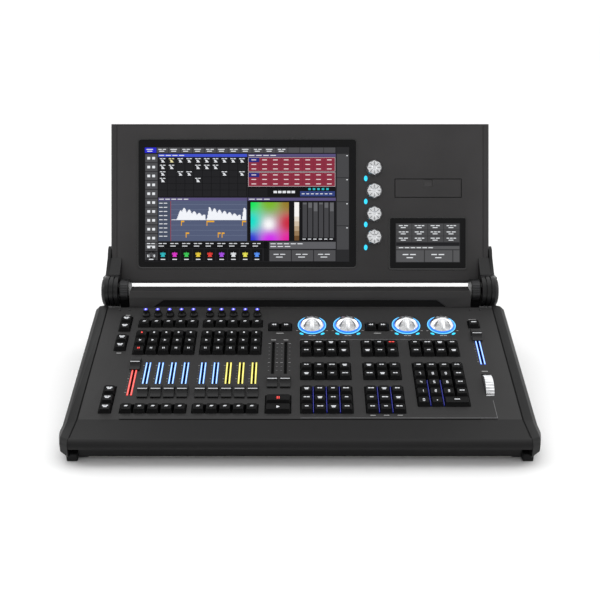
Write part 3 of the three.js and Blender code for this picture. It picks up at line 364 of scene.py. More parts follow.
def framed_hole(bm_shell, bm_core, x, y, width, length, wall, depth, place):
    """A socket: a thin metal collar standing round a dark core with a tongue."""
    for side in (-1, 1):
        upright = oblong(x + side * (width - wall) / 2, y, wall, length)
        slab(bm_shell, upright, -0.0004, depth, place)
        level = oblong(x, y + side * (length - wall) / 2, width - 2 * wall, wall)
        slab(bm_shell, level, -0.0004, depth, place)
    slab(bm_core, oblong(x, y, width - 2 * wall, length - 2 * wall), -0.0003, depth * 0.35, place)
    tongue = oblong(x, y + length * 0.12, width * 0.66, length * 0.16)
    slab(bm_core, tongue, 0.0001, depth * 0.75, place)


usb_shell, usb_core = bmesh.new(), bmesh.new()
framed_hole(usb_shell, usb_core, 0.2435, 0.0195, 0.0132, 0.0058, 0.0005, 0.0013, skirt)
made("front_usb_collar", usb_shell, bright_metal, "case")
made("front_usb_core", usb_core, plastic_and_hole_shade, "case")

# A bright nickel strip along the skirt's lower edge: a painted highlight where the edge catches the
# floor.
edge_highlight_strip = bmesh.new()
slab(edge_highlight_strip, oblong(0, tray_low.z + 0.0012, 0.58, 0.0011, 0.0005), -0.0002, 0.0005, skirt)
made("skirt_edge_trim", edge_highlight_strip, bright_metal, "case")


dark_steel_and_groove_shade = grained("blackened_steel", (0.06, 0.06, 0.062), 0.35, 0.0015, (0.25, 0.5), 0.00002,
                     metal=0.9, stretch=(1, 6, 1))


def screws(name, spots, place, radius=0.0032, body="case"):
    """Domed hexagon-socket screws at (x, y) spots on a face."""
    bm = bmesh.new()
    hole = bmesh.new()
    dome = [(radius * 0.97, -0.0003), (radius, 0.0006), (radius * 0.85, 0.0013)]
    dome += [(radius * 0.55, 0.0017), (radius * 0.5, 0.0017), (radius * 0.48, 0.0012)]
    for x, y in spots:
        turned(bm, dome, place @ Matrix.Translation((x, y, 0)), 20)
        # The hexagon socket is a flat black slab on the dome: painted shade of the recess.
        hexagon = disc(x, y, radius * 0.42, 6)
        slab(hole, hexagon, 0.0011, 0.00135, place)
    made(name, bm, dark_steel_and_groove_shade, body)
    made(name + "_sockets", hole, plastic_and_hole_shade, body)


underside = Matrix.Translation((0, 0, tray_low.z)) @ Matrix.Rotation(math.pi, 4, "X")
tray_length = tray_high.y - tray_low.y
screws(
    "tray_screws",
    [
        (x, -(tray_low.y + tray_length * share))
        for share in (0.04, 0.5, 0.96)
        for x in (-0.29, -0.1, 0.1, 0.29)
    ],
    underside,
)
# The vent slots are flat black slabs: painted shade of the holes.
vents = bmesh.new()
for bay in (-0.15, 0.15):
    for row in range(14):
        y = -(tray_low.y + tray_length * 0.58) + row * 0.0062
        slab(vents, oblong(bay, y, 0.11, 0.0026, 0.0012), -0.0002, 0.0003, underside)
made("floor_vents", vents, plastic_and_hole_shade, "case")

# Sockets on the rear wall, left to right as seen from behind: mains inlet and switch, network,
# screens and USB, then six round data outlets with latches.
XLR_RADIUS = 0.0118
rear_mid = (tray_low.z + tray_high.z) / 2
shells, cores, plates = bmesh.new(), bmesh.new(), bmesh.new()
rear_plate = oblong(0, rear_mid - 0.006, 0.56, 0.056, 0.003)
slab(plates, rear_plate, -0.0002, 0.0012, rear_wall)
made("connector_plate", plates, powder_coat("plate_coat", (0.02, 0.02, 0.021), 0.6), "case",
     soft=0.0004)
plate_face = rear_wall @ Matrix.Translation((0, 0, 0.0012))
for i in range(6):
    x = 0.035 + i * 0.04
    spot = plate_face @ Matrix.Translation((x, rear_mid - 0.006, 0))
    collar = [(XLR_RADIUS + 0.0012, -0.0002), (XLR_RADIUS + 0.0012, 0.002)]
    collar += [(XLR_RADIUS, 0.0026), (XLR_RADIUS - 0.001, 0.0026), (XLR_RADIUS - 0.0015, 0.0009)]
    turned(shells, collar, spot, 40)
    turned(cores, [(XLR_RADIUS - 0.0018, 0.0006), (XLR_RADIUS - 0.0018, 0.0014)], spot, 32)
    for pin in range(5):
        swing = math.radians(210 + pin * 30)
        at = Matrix.Translation((0.006 * math.cos(swing), 0.006 * math.sin(swing), 0))
        turned(shells, [(0.0011, 0.001), (0.0011, 0.0021), (0.0005, 0.0025)], spot @ at, 12)
    latch = oblong(x, rear_mid + 0.0052, 0.005, 0.003, 0.0008)
    slab(shells, latch, 0.0024, 0.0038, plate_face)
for i in range(2):
    framed_hole(shells, cores, -0.02 - i * 0.022, rear_mid - 0.012, 0.0165, 0.0138, 0.0007,
                0.003, plate_face)
for i in range(4):
    framed_hole(shells, cores, -0.07 - (i % 2) * 0.018, rear_mid - 0.015 + (i // 2) * 0.012,
                0.0142, 0.0068, 0.0006, 0.0022, plate_face)
for i in range(2):
    framed_hole(shells, cores, -0.118 - i * 0.022, rear_mid - 0.012, 0.0175, 0.0074, 0.0007,
                0.0022, plate_face)
framed_hole(shells, cores, -0.19, rear_mid - 0.006, 0.029, 0.026, 0.0016, 0.0024, plate_face)
for pin in (-0.007, 0, 0.007):
    blade = oblong(-0.19 + pin, rear_mid - 0.006 + (0.004 if pin == 0 else 0), 0.002, 0.007)
    slab(shells, blade, 0.0006, 0.0018, plate_face)
framed_hole(shells, cores, -0.235, rear_mid - 0.006, 0.024, 0.03, 0.0014, 0.0016, plate_face)
made("rear_sockets", shells, bright_metal, "case")
made("rear_socket_cores", cores, plastic_and_hole_shade, "case")
rocker = bmesh.new()
slab(rocker, oblong(-0.235, rear_mid - 0.006, 0.019, 0.025, 0.002), 0.0008, 0.0042, plate_face)
made("mains_rocker", rocker, plastic_and_hole_shade, "case", soft=0.0008)
screws("connector_plate_screws",
       [(side * 0.272, rear_mid - 0.006 + up) for side in (-1, 1) for up in (-0.022, 0.022)],
       plate_face, 0.0024)
screws("rear_wall_screws",
       [(x, tray_high.z - 0.012) for x in (-0.29, -0.15, 0, 0.15, 0.29)], rear_wall, 0.0026)

# ---------------------------------------------------------------- cheeks
# The two side castings, aluminium under the same black coat, rounded along their outer edges.
# Each is held by three screws from outside and carries a hinge.

cheek_coat = powder_coat("cheek_coat", (0.0045, 0.0045, 0.0047), 0.44, 0.0009, gloss=0.13)
for side in (-1, 1):
    word = "left" if side < 0 else "right"
    eased(word + "_cheek", cheek_coat, 0.0032, 5)
    cheek_low, cheek_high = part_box(word + "_cheek")
    outside = cheek_high.x if side > 0 else cheek_low.x
    flank = (
        Matrix.Translation((outside, 0, 0))
        @ Matrix.Rotation(side * math.pi / 2, 4, "Z")
        @ Matrix.Rotation(math.pi / 2, 4, "X")
    )
    along = [side * (cheek_high.y - 0.05 - i * 0.12) for i in range(3)]
    screws(word + "_cheek_screws", [(y, 0.026) for y in along], flank, 0.0036)

# ---------------------------------------------------------------- top panel
# One long pressing of sheet aluminium, charcoal powder coat: the sloping deck with its windows and
# slots, the flat armrest, and the rounded nose with its lip folded back underneath.

deck_coat = powder_coat("deck_coat", (0.013, 0.0126, 0.0128), 0.47)
panel = eased("top_panel", deck_coat, 0.0005)
DECK_SLOPE = math.radians(14)
DECK_LENGTH = 0.2603
rear_edge = max((v.co for v in frame["nodes"]["top_panel"].data.vertices), key=lambda co: co.z)
deck = Matrix.Translation((0, rear_edge.y, rear_edge.z)) @ Matrix.Rotation(DECK_SLOPE, 4, "X")
sideways = Matrix(((0, 0, 1, 0), (1, 0, 0, 0), (0, 1, 0, 0), (0, 0, 0, 1)))
LIP_HALF_WIDTH = 0.2535
LIP_BACK = 0.0095
LIP_HEIGHT = 0.0014
lip_profile = [
    (-DECK_LENGTH - 0.0002, -0.0002),
    (LIP_BACK - DECK_LENGTH, -0.0002),
    (LIP_BACK - DECK_LENGTH, 0.0001),
    (0.0009 - DECK_LENGTH, LIP_HEIGHT),
    (-DECK_LENGTH - 0.0002, LIP_HEIGHT * 0.8),
]
deck_lip = bmesh.new()
slab(deck_lip, lip_profile, -LIP_HALF_WIDTH, LIP_HALF_WIDTH, deck @ sideways)
made("deck_front_edge", deck_lip, deck_coat, "case", soft=0.0003)
# Black for the fader slot liners, and for strips laid over gaps as their painted shade.
slot_black_and_gap_shade = grained("side_seal", (0.003, 0.003, 0.003), 0.7, 0.001, (0.6, 0.8), 0.00005,
                     gloss=0.1)
panel_low, panel_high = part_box("top_panel")
bend = deck @ Vector((0, -DECK_LENGTH, 0))
armrest = Matrix.Translation((0, 0, bend.z))
# The armrest and the nose get a smoother, darker copy of the deck's coat: the darkness is painted
# shade, for the dark lid that the flat armrest reflects.
armrest_painted_shade_coat = powder_coat("armrest_coat", (0.0085, 0.0083, 0.0085), 0.44, gloss=0.17)
panel.data.materials.append(armrest_painted_shade_coat)
for patch in panel.data.polygons:
    if max(panel.data.vertices[i].co.y for i in patch.vertices) < bend.y + 0.0005:
        patch.material_index = 1
# Black strips along the gaps between deck and cheeks: painted shade in the gaps.
gap_shade_strips = bmesh.new()
for side in (-1, 1):
    x = side * (panel_high.x - 0.0006)
    slab(gap_shade_strips, oblong(x, -DECK_LENGTH / 2, 0.0012, DECK_LENGTH), -0.0003, 0.0003, deck)
    rest_length = bend.y - panel_low.y - 0.012
    slab(gap_shade_strips, oblong(x, bend.y - rest_length / 2, 0.0012, rest_length), -0.0003, 0.0003, armrest)
made("deck_side_seals", gap_shade_strips, slot_black_and_gap_shade, "case")

# ---------------------------------------------------------------- rear housing
# The raised cover behind the deck: folded aluminium, fixed with small screws at its ends. Its coat is
# copied paler than the deck's as a painted highlight, and its front faces over the recess are coated
# near-black as painted shade. Cables to the lid run beneath it.

# The whole housing's coat is paler than the deck's: painted highlight.
crest_coat = powder_coat("crest_coat", (0.022, 0.021, 0.0212), 0.45)
housing = eased("rear_housing", crest_coat, 0.0011, 3)
# Front faces over the recess get a near-black coat: painted shade.
recess_coat = powder_coat("recess_coat", (0.003, 0.003, 0.0032), 0.6, gloss=0.12)
housing.data.materials.append(recess_coat)
RECESS_REACH = 0.239
for side_face in housing.data.polygons:
    spots = [housing.data.vertices[i].co for i in side_face.vertices]
    if side_face.normal.y < -0.5 and max(abs(spot.x) for spot in spots) < RECESS_REACH:
        side_face.material_index = 1
screws("deck_rear_screws", [(side * x, -0.006) for side in (-1, 1) for x in (0.275, 0.291)],
       deck, 0.0017)

# ---------------------------------------------------------------- boards and power supply
# Inside the case: two laminate boards under green solder mask, with copper tracks that show
# through it, and the power supply's folded steel can. They stay as they were built.

laminate, laminate_shader = finish("solder_mask", (0.01, 0.06, 0.03), 0.4)
tracks = grain(laminate, 0.003, (6, 1, 1), 1)
toned(laminate, laminate_shader, tracks, (0.006, 0.045, 0.02), (0.02, 0.11, 0.05))
pebbled(laminate, laminate_shader, tracks, 0.00004)
zinc, zinc_shader = finish("zinc_plated_steel", (0.42, 0.43, 0.44), 0.35, metal=1)
spangle = grain(zinc, 0.009, detail=1)
roughened(zinc, zinc_shader, spangle, 0.25, 0.45)
pebbled(zinc, zinc_shader, spangle, 0.00004)
for node, material in (
    ("control_board", laminate),
    ("main_board", laminate),
    ("power_supply", zinc),
):
    frame["nodes"][node].data.materials[0] = material

# ---------------------------------------------------------------- hinges
# On each side a ribbed drum on the lid's arm turns on the pin of a fixed barrel. Both are cast
# aluminium; the barrel is finely knurled, and an oval cap closes the drum's end.

hinge_coat = powder_coat("hinge_coat", (0.006, 0.006, 0.0064), 0.36, 0.0009)
hinge_line = Vector(frame["joints"][0]["pos_m"])
for side in (-1, 1):
    word = "left" if side < 0 else "right"
    eased(word + "_hinge_barrel", hinge_coat, 0.0009, 3)
    eased(word + "_hinge_arm", hinge_coat, 0.0008, 3)
    arm_low, arm_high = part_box(word + "_hinge_arm")
    outer = arm_high.x if side > 0 else arm_low.x
    end_face = (
        Matrix.Translation((outer, hinge_line.y, hinge_line.z))
        @ Matrix.Rotation(side * math.pi / 2, 4, "Y")
    )
    cap = bmesh.new()
    turned(cap, [(0.0145, -0.0003), (0.0145, 0.0006), (0.0125, 0.0012)], end_face, 40)
    made(word + "_hinge_cap", cap, cheek_coat, "lid", soft=0.0002)
    screws(word + "_hinge_screw", [(0, 0)], end_face @ Matrix.Translation((0, 0, 0.0012)),
           0.0042, "lid")
    barrel_low, barrel_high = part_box(word + "_hinge_barrel")
    inner = barrel_low.x if side > 0 else barrel_high.x
    knurl = bmesh.new()
    barrel_radius = barrel_high.z - hinge_line.z
    for i in range(28):
        swing = math.radians(-20 + i * 220 / 27)
        rib = (
            Matrix.Translation((inner + side * 0.0075, hinge_line.y, hinge_line.z))
            @ Matrix.Rotation(-swing, 4, "X")
            @ Matrix.Translation((0, -barrel_radius, 0))
        )
        slab(knurl, oblong(0, 0, 0.0115, 0.0009), -0.0008, 0.0008, rib)
    made(word + "_barrel_knurl", knurl, dark_steel_and_groove_shade, "case")

# ---------------------------------------------------------------- keys
# Nine fields of moulded caps on one pitch, near-black polycarbonate with a fine spark texture:
# low front skirt, dished top. Each field rides on its carrier plate, which springs back 3 mm.

KEY_PITCH = 0.01905
KEY_GAP = 0.0014
KEY_TOP = 0.0052
KEY_SIDE_TAPER = 0.0017
KEY_FRONT_TAPER = 0.0032
KEY_REAR_TAPER = 0.0025
KEY_FOOT = -0.007
KEY_DISH = 0.0009

key_plastic, key_shader = finish("key_plastic", (0.003, 0.003, 0.0032), 0.42, gloss=0.1)
spark = grain(key_plastic, 0.0005)
toned(key_plastic, key_shader, spark, (0.0018, 0.0018, 0.002), (0.0045, 0.0045, 0.0048))
roughened(key_plastic, key_shader, spark, 0.34, 0.5)
pebbled(key_plastic, key_shader, spark, 0.00005)
carrier_black = grained("carrier_rubber", (0.004, 0.004, 0.004), 0.7, 0.001, (0.6, 0.8), 0.00005,
                        gloss=0.2)


def span(node, place):
    """Lowest and highest corner of a CAD node in a turned frame, such as the deck's."""
    back = place.inverted()
    points = [back @ v.co for v in frame["nodes"][node].data.vertices]
    return [Vector([pick(p[i] for p in points) for i in range(3)]) for pick in (min, max)]


def key_cap(bm, x, y, pitches):
    """One cap about (x, y) on the deck, as wide as that many pitches."""
    width = pitches * KEY_PITCH - KEY_GAP
    length = KEY_PITCH - KEY_GAP
    top_y = y + (KEY_FRONT_TAPER - KEY_REAR_TAPER) / 2
    top_width = width - 2 * KEY_SIDE_TAPER
    top_length = length - KEY_FRONT_TAPER - KEY_REAR_TAPER
    levels = [(KEY_FOOT, 0.0, 0.0009), (0.0004, 0.0, 0.0012), (KEY_TOP - 0.0011, 0.87, 0.0018)]
    levels += [(KEY_TOP - 0.0003, 0.98, 0.002), (KEY_TOP, 1.04, 0.0021)]
    rings = []
    for height, share, radius in levels:
        outline = oblong(
            x,
            y + (top_y - y) * share,
            width + (top_width - width) * share,
            length + (top_length - length) * share,
            radius,
            4,
        )
        rings.append([bm.verts.new(deck @ Vector((a, b, height))) for a, b in outline])
    for share in (0.84, 0.6, 0.3):
        drop = KEY_DISH * (1 - share**2)
        inner = oblong(x, top_y, top_width * share, top_length * share, 0.0021 * share, 4)
        rings.append([bm.verts.new(deck @ Vector((a, b, KEY_TOP - drop))) for a, b in inner])
    for lower, upper in zip(rings, rings[1:]):
        for i in range(len(lower)):
            j = (i + 1) % len(lower)
            bm.faces.new((lower[i], lower[j], upper[j], upper[i]))
    bm.faces.new(rings[0][::-1])
    bm.faces.new(rings[-1])


# Each field: its node, and its groups as (across, down, columns, rows, pitches wide), measured
# in metres from the field's left and rear edges.
BANK_STEP = 4 * KEY_PITCH + 0.0258
CUE_STEP = KEY_PITCH + 0.0095
PAIR_STEP = 2 * KEY_PITCH + 0.0095
TRIPLE_STEP = PAIR_STEP + 2 * KEY_PITCH + 0.0808
SECOND_STEP = 2 * KEY_PITCH + 0.0154
THIRD_STEP = SECOND_STEP + 2 * KEY_PITCH + 0.0142
PAGE_STEP = 0.0432
PAGE_INSET = 0.00905
KEY_FIELDS = {
    "playback_keys": [
        (0, 0, 5, 1, 1),
        (0, CUE_STEP, 5, 3, 1),
        (BANK_STEP, 0, 5, 1, 1),
        (BANK_STEP, CUE_STEP, 5, 3, 1),
    ],
    "flash_keys": [(0, 0, 5, 1, 1), (BANK_STEP, 0, 5, 1, 1)],
    "left_column_keys": [(0, 0, 1, 2, 1), (0, PAIR_STEP, 1, 2, 1), (0, TRIPLE_STEP, 1, 3, 1)],
    "seek_keys": [(0, 0, 2, 1, 1)],
    "transport_keys": [(0, 0, 1, 2, 2)],
    "programmer_keys_left": [
        (0, 0, 4, 2, 1),
        (0, SECOND_STEP, 4, 2, 1),
        (0, THIRD_STEP, 4, 3, 1),
    ],
    "programmer_keys_middle": [
        (PAGE_INSET, 0, 2, 1, 1),
        (0, PAGE_STEP, 3, 2, 1),
        (0, PAGE_STEP + SECOND_STEP, 3, 2, 1),
        (0, PAGE_STEP + THIRD_STEP, 3, 3, 1),
    ],
    "programmer_keys_right": [
        (0, 0, 4, 2, 1),
        (0, SECOND_STEP, 4, 4, 1),
        (0, SECOND_STEP + 4 * KEY_PITCH, 2, 1, 1),
        (2 * KEY_PITCH, SECOND_STEP + 4 * KEY_PITCH, 1, 1, 2),
    ],
    "master_key": [(0, 0, 1, 1, 1)],
}
key_places = {}
for field, groups in KEY_FIELDS.items():
    field_low, field_high = span(field, deck)
    left = field_low.x - KEY_GAP / 2
    rear = field_high.y + KEY_GAP / 2
    body = frame["nodes"][field]["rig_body"]
    caps, carrier = bmesh.new(), bmesh.new()
    key_places[field] = []
    for across, down, columns, rows, pitches in groups:
        places = [
            [
                (
                    left + across + (c + 0.5) * pitches * KEY_PITCH,
                    rear - down - (r + 0.5) * KEY_PITCH,
                )
                for c in range(columns)
            ]
            for r in range(rows)
        ]
        key_places[field].append(places)
        for x, y in (spot for row in places for spot in row):
            key_cap(caps, x, y, pitches)
        wide, long = columns * pitches * KEY_PITCH, rows * KEY_PITCH
        middle = (left + across + wide / 2, rear - down - long / 2)
        slab(carrier, oblong(*middle, wide - KEY_GAP, long - KEY_GAP), -0.0078, -0.0062, deck)
    piece = made(field + "_caps", caps, key_plastic, body)
    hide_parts(field)
    made(field + "_carrier", carrier, carrier_black, body)

# ---------------------------------------------------------------- key legends
# White and coloured marks, lasered through the caps' paint near the middle of their tops and lit from
# beneath: generic dots, arrows, bars and numbers.


def glow_finish(name, colour, strength, rough=0.3):
    """A lit plastic or print, or a print given a painted glow: the colour glows, a little uneven,
    from its own surface.
    """
    material, shader = finish(name, [c * 0.5 for c in colour], rough)
    uneven = grain(material, 0.004, detail=1)
    toned(material, shader, uneven, [c * 0.4 for c in colour], [c * 0.6 for c in colour])
    shader.inputs["Emission Color"].default_value = (*colour, 1)
    shader.inputs["Emission Strength"].default_value = strength
    return material


white_print = glow_finish("white_legend", (0.8, 0.82, 0.85), 0.45)
red_print = glow_finish("red_legend", (0.95, 0.06, 0.05), 0.9)
PRINT_LOW = KEY_TOP - 0.0006
PRINT_HIGH = KEY_TOP + 0.0001
LEGEND_UP = 0.0012  # middle of a legend behind the middle of its key

# The seven strokes of a figure as (x, y, width, length) in figure heights, then the strokes
# that each figure uses.
STROKES = [
    (0, 0.44, 0.5, 0.13),
    (0.24, 0.22, 0.13, 0.44),
    (0.24, -0.22, 0.13, 0.44),
    (0, -0.44, 0.5, 0.13),
    (-0.24, -0.22, 0.13, 0.44),
    (-0.24, 0.22, 0.13, 0.44),
    (0, 0, 0.5, 0.13),
]
FIGURES = ["012345", "12", "01346", "01236", "1256", "02356", "023456", "012", "0123456", "012356"]


def figure(bm, digit, x, y, height, place, low=PRINT_LOW, high=PRINT_HIGH):
    """A plain number in straight strokes."""
    for stroke in FIGURES[digit]:
        dx, dy, width, length = (value * height for value in STROKES[int(stroke)])
        slab(bm, oblong(x + dx, y + dy, width, length), low, high, place)


def triangle(x, y, size, way=1):
    """The outline of an arrowhead pointing to the right, or to the left."""
    points = [
        (x - way * size * 0.45, y - size / 2),
        (x + way * size * 0.55, y),
        (x - way * size * 0.45, y + size / 2),
    ]
    return points if way > 0 else points[::-1]


def tick(x, y):
    """A small slanted stroke."""
    return [(x - 0.0026, y - 0.0008), (x + 0.0012, y - 0.0008), (x + 0.0026, y + 0.001),
            (x - 0.0012, y + 0.001)]


def caption(bm, x, y, width, place, low=PRINT_LOW, high=PRINT_HIGH, tall=0.0013, words=2):
    """A line of print, seen as short bars."""
    step = width / words
    for i in range(words):
        bar = oblong(x - width / 2 + step * (i + 0.5), y, step * 0.82, tall)
        slab(bm, bar, low, high, place)


legends = {}


def legend_on(field, colour="white"):
    """The bmesh that collects a field's legends of one colour."""
    return legends.setdefault((field, colour), bmesh.new())


def each_key(field, group):
    """Row, column and place of every key in a group."""
    for r, row in enumerate(key_places[field][group]):
        for c, (x, y) in enumerate(row):
            yield r, c, x, y + LEGEND_UP


for group in (0, 2):
    for r, c, x, y in each_key("playback_keys", group):
        slab(legend_on("playback_keys"), tick(x, y), PRINT_LOW, PRINT_HIGH, deck)
for r, c, x, y in [k for g in (0, 1) for k in each_key("flash_keys", g)]:
    slab(legend_on("flash_keys"), tick(x, y), PRINT_LOW, PRINT_HIGH, deck)
for group in (1, 3):
    for r, c, x, y in each_key("playback_keys", group):
        bm = legend_on("playback_keys", "red" if group == 1 and c == 0 and r != 1 else "white")
        if r == 0:
            slab(bm, disc(x, y, 0.0014, 12), PRINT_LOW, PRINT_HIGH, deck)
        elif r == 1:
            slab(bm, triangle(x, y, 0.0034), PRINT_LOW, PRINT_HIGH, deck)
        else:
            for dx in (-0.0011, 0.0011):
                slab(bm, oblong(x + dx, y, 0.0011, 0.003), PRINT_LOW, PRINT_HIGH, deck)
for group in range(3):
    for r, c, x, y in each_key("left_column_keys", group):
        bm = legend_on("left_column_keys")
        caption(bm, x, y + 0.0008, 0.0092, deck, words=2, tall=0.0015)
        caption(bm, x, y - 0.0017, 0.0066, deck, words=1, tall=0.0015)
for field in ("seek_keys", "programmer_keys_middle"):
    for r, c, x, y in each_key(field, 0):
        pointing = -1 if c == 0 else 1
        for dx in (-0.0017, 0.0017):
            slab(legend_on(field), triangle(x + dx, y, 0.0032, pointing), PRINT_LOW, PRINT_HIGH,
                 deck)
for r, c, x, y in each_key("transport_keys", 0):
    bm = legend_on("transport_keys", "red" if r == 0 else "white")
    if r == 0:
        for dx in (-0.0013, 0.0013):
            slab(bm, oblong(x + dx, y - 0.0015, 0.0014, 0.0046), PRINT_LOW, PRINT_HIGH, deck)
    else:
        slab(bm, triangle(x, y - 0.0015, 0.0046), PRINT_LOW, PRINT_HIGH, deck)
for field, groups in (
    ("programmer_keys_left", (0, 1, 2)),
    ("programmer_keys_middle", (1, 2, 3)),
    ("programmer_keys_right", (0,)),
):
    for group in groups:
        for r, c, x, y in each_key(field, group):
            odd = (r * 5 + c * 3 + group) % 4
            warm = field.endswith("middle") and group == 1 and r == 0 and c == 2
            bm = legend_on(field, "red" if warm else "white")
            caption(bm, x, y, 0.0062 + 0.001 * odd, deck, words=1 + odd % 2)
            if odd == 2:
                caption(bm, x, y - 0.0022, 0.0058, deck, words=1)
number_rows = ((7, 8, 9), (4, 5, 6), (1, 2, 3))
for r, c, x, y in each_key("programmer_keys_right", 1):
    bm = legend_on("programmer_keys_right")
    if r > 0 and c < 3:
        figure(bm, number_rows[r - 1][c], x, y - 0.0012, 0.0048, deck)
    else:
        caption(bm, x, y, 0.0076, deck, words=1 + c % 2)
for r, c, x, y in each_key("programmer_keys_right", 2):
    if c == 0:
        figure(legend_on("programmer_keys_right"), 0, x, y - 0.0012, 0.0048, deck)
    else:
        slab(legend_on("programmer_keys_right"), disc(x, y - 0.002, 0.0008, 10), PRINT_LOW,
             PRINT_HIGH, deck)
for field, group in (("programmer_keys_right", 3), ("master_key", 0)):
    for r, c, x, y in each_key(field, group):
        caption(legend_on(field), x, y, 0.0095, deck, words=1)
prints = {"white": white_print, "red": red_print}
for (field, colour), bm in legends.items():
    made(f"{field}_{colour}_legends", bm, prints[colour], frame["nodes"][field]["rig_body"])

# Dim blue light pipes stand between the columns of the lower groups, fixed to the deck.
pipes = bmesh.new()
for field, group, first in (("programmer_keys_left", 2, 0), ("programmer_keys_middle", 3, 0),
                            ("programmer_keys_right", 1, 2)):
    rows = key_places[field][group][first:]
    foot_drop = KEY_PITCH if first else 0
    long = len(rows) * KEY_PITCH + foot_drop - 0.004
    middle_y = (rows[0][0][1] + rows[-1][0][1] - foot_drop) / 2
    for left_key, right_key in list(zip(rows[0], rows[0][1:]))[: 2 if first else None]:
        x = (left_key[0] + right_key[0]) / 2
        slab(pipes, oblong(x, middle_y, 0.0009, long), -0.0008, 0.0016, deck)
made("key_light_pipes", pipes, glow_finish("blue_light_pipe", (0.01, 0.02, 0.6), 0.14), "case")

# ---------------------------------------------------------------- faders
# Moulded caps with a hollow on each side of a raised crest and a white line along it, on steel
# blades that run in slots. Beside the playback slots stand two lit acrylic strips.

cap_plastic, cap_shader = finish("fader_cap_plastic", (0.01, 0.01, 0.0105), 0.4, gloss=0.3)
cap_grain = grain(cap_plastic, 0.0006)
toned(cap_plastic, cap_shader, cap_grain, (0.006, 0.006, 0.0065), (0.013, 0.013, 0.0135))
roughened(cap_plastic, cap_shader, cap_grain, 0.3, 0.48)
pebbled(cap_plastic, cap_shader, cap_grain, 0.00005)


def swept(start, turn, end, steps=7):
    """Points along a hollow from start to end, pulled towards turn."""
    points = []
    for i in range(steps):
        t = i / (steps - 1)
        points.append(
            tuple(
                (1 - t) ** 2 * a + 2 * t * (1 - t) * b + t * t * c
                for a, b, c in zip(start, turn, end)
            )
        )
    return points


def fader_cap(node):
    """The cap, its blade and its white line, in place of one CAD fader."""
    low, high = span(node, deck)
    body = frame["nodes"][node]["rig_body"]
    middle = (low.x + high.x) / 2
    crest_y = high.y - 0.014
    profile = [(low.y, 0.0005), (high.y, 0.0005)]
    profile += swept((high.y, 0.0048), (crest_y + 0.0035, 0.0042), (crest_y + 0.0016, high.z))
    profile += swept((crest_y - 0.0016, high.z), (crest_y - 0.003, 0.0034), (low.y, 0.0024))
    bm = bmesh.new()
    slab(bm, profile, low.x, high.x, deck @ sideways)
    cap = made(node + "_cap", bm, cap_plastic, body, soft=0.0006, steps=3)
    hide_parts(node)
    blade = bmesh.new()
    slab(blade, oblong(middle, crest_y, 0.002, 0.007), low.z, 0.002, deck)
    made(node + "_blade", blade, zinc, body)
    # The white line is print, given a glow of its own: painted light.
    line = bmesh.new()
    slab(line, oblong(middle, crest_y, high.x - low.x - 0.0016, 0.0011), high.z - 0.0003,
         high.z + 0.00012, deck)
    made(node + "_line", line, white_print, body)
    return middle, crest_y


slots, scale_bright, scale_faint = bmesh.new(), bmesh.new(), bmesh.new()
strips = {colour: bmesh.new() for colour in ("red", "blue", "yellow", "master")}
halos = {colour: bmesh.new() for colour in strips}
travels = {j["child"]: j["range_m"] for j in frame["joints"] if j["type"] == "slide"}
STRIP_OUT = 0.0028
for node in sorted(n for n in frame["nodes"] if "fader" in n):
    middle, crest_y = fader_cap(node)
    ends = sorted(crest_y + reach for reach in travels[frame["nodes"][node]["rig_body"]])
    low_end, high_end = ends
    slot_middle, slot_length = (low_end + high_end) / 2, high_end - low_end + 0.008
    slab(slots, oblong(middle, slot_middle, 0.0036, slot_length, 0.0009), -0.0029, -0.0026, deck)
    if node.startswith("crossfader"):
        for side in (-1, 1):
            rail = oblong(middle + side * 0.0018, slot_middle, 0.0014, slot_length)
            slab(slots, rail, -0.0004, 0.0002, deck)
        for i in range(11):
            y = low_end + (high_end - low_end) * i / 10
            long = 0.0034 if i % 5 == 0 else 0.0022
            bm = scale_bright if i % 5 == 0 else scale_faint
            for side in (-1, 1):
                slab(bm, oblong(middle + side * 0.006, y, long, 0.0005), -0.0002, 0.00012, deck)
        continue
    number = int(node.rsplit("_", 1)[1]) if node.startswith("playback") else 0
    colour = "master" if number == 0 else "red" if number == 1 else "blue"
    colour = "yellow" if number > 7 else colour
    for side in (-1, 1):
        x = middle + side * STRIP_OUT
        long = high_end - low_end + 0.0137
        slab(halos[colour], oblong(x, slot_middle, 0.0026, long, 0.0008), -0.0004, 0.0003, deck)
        strip = oblong(x, slot_middle, 0.0013, long - 0.002, 0.0005)
        slab(strips[colour], strip, 0.0, 0.0006, deck)
    for i in range(11):
        y = low_end + (high_end - low_end) * i / 10
        bm = scale_bright if i % 5 == 0 else scale_faint
        slab(bm, oblong(middle - 0.0064, y, 0.0026 if i % 5 == 0 else 0.0018, 0.0005), -0.0002,
             0.00012, deck)
made("fader_slot_liners", slots, slot_black_and_gap_shade, "case")
STRIP_LIGHT = {
    "red": ((0.8, 0.02, 0.015), (1.0, 0.16, 0.14)),
    "blue": ((0.03, 0.2, 0.9), (0.45, 0.75, 1.0)),
    "yellow": ((0.6, 0.5, 0.01), (0.95, 0.9, 0.25)),
    "master": ((0.01, 0.1, 0.95), (0.45, 0.75, 1.0)),
}
for colour, (edge, core) in STRIP_LIGHT.items():
    made(f"fader_halo_{colour}", halos[colour], glow_finish(f"{colour}_halo", edge, 0.55), "case")
    made(f"fader_strip_{colour}", strips[colour], glow_finish(f"{colour}_strip", core, 1.0), "case")
# The deck's print and scale marks glow faintly from their own surface: painted light.
faint_print = glow_finish("faint_print", (0.3, 0.3, 0.31), 0.06, 0.5)
pale_print_painted_glow = glow_finish("white_print", (0.6, 0.6, 0.6), 0.2, 0.5)
made("scale_marks", scale_bright, pale_print_painted_glow, "case")
made("scale_marks_fine", scale_faint, faint_print, "case")

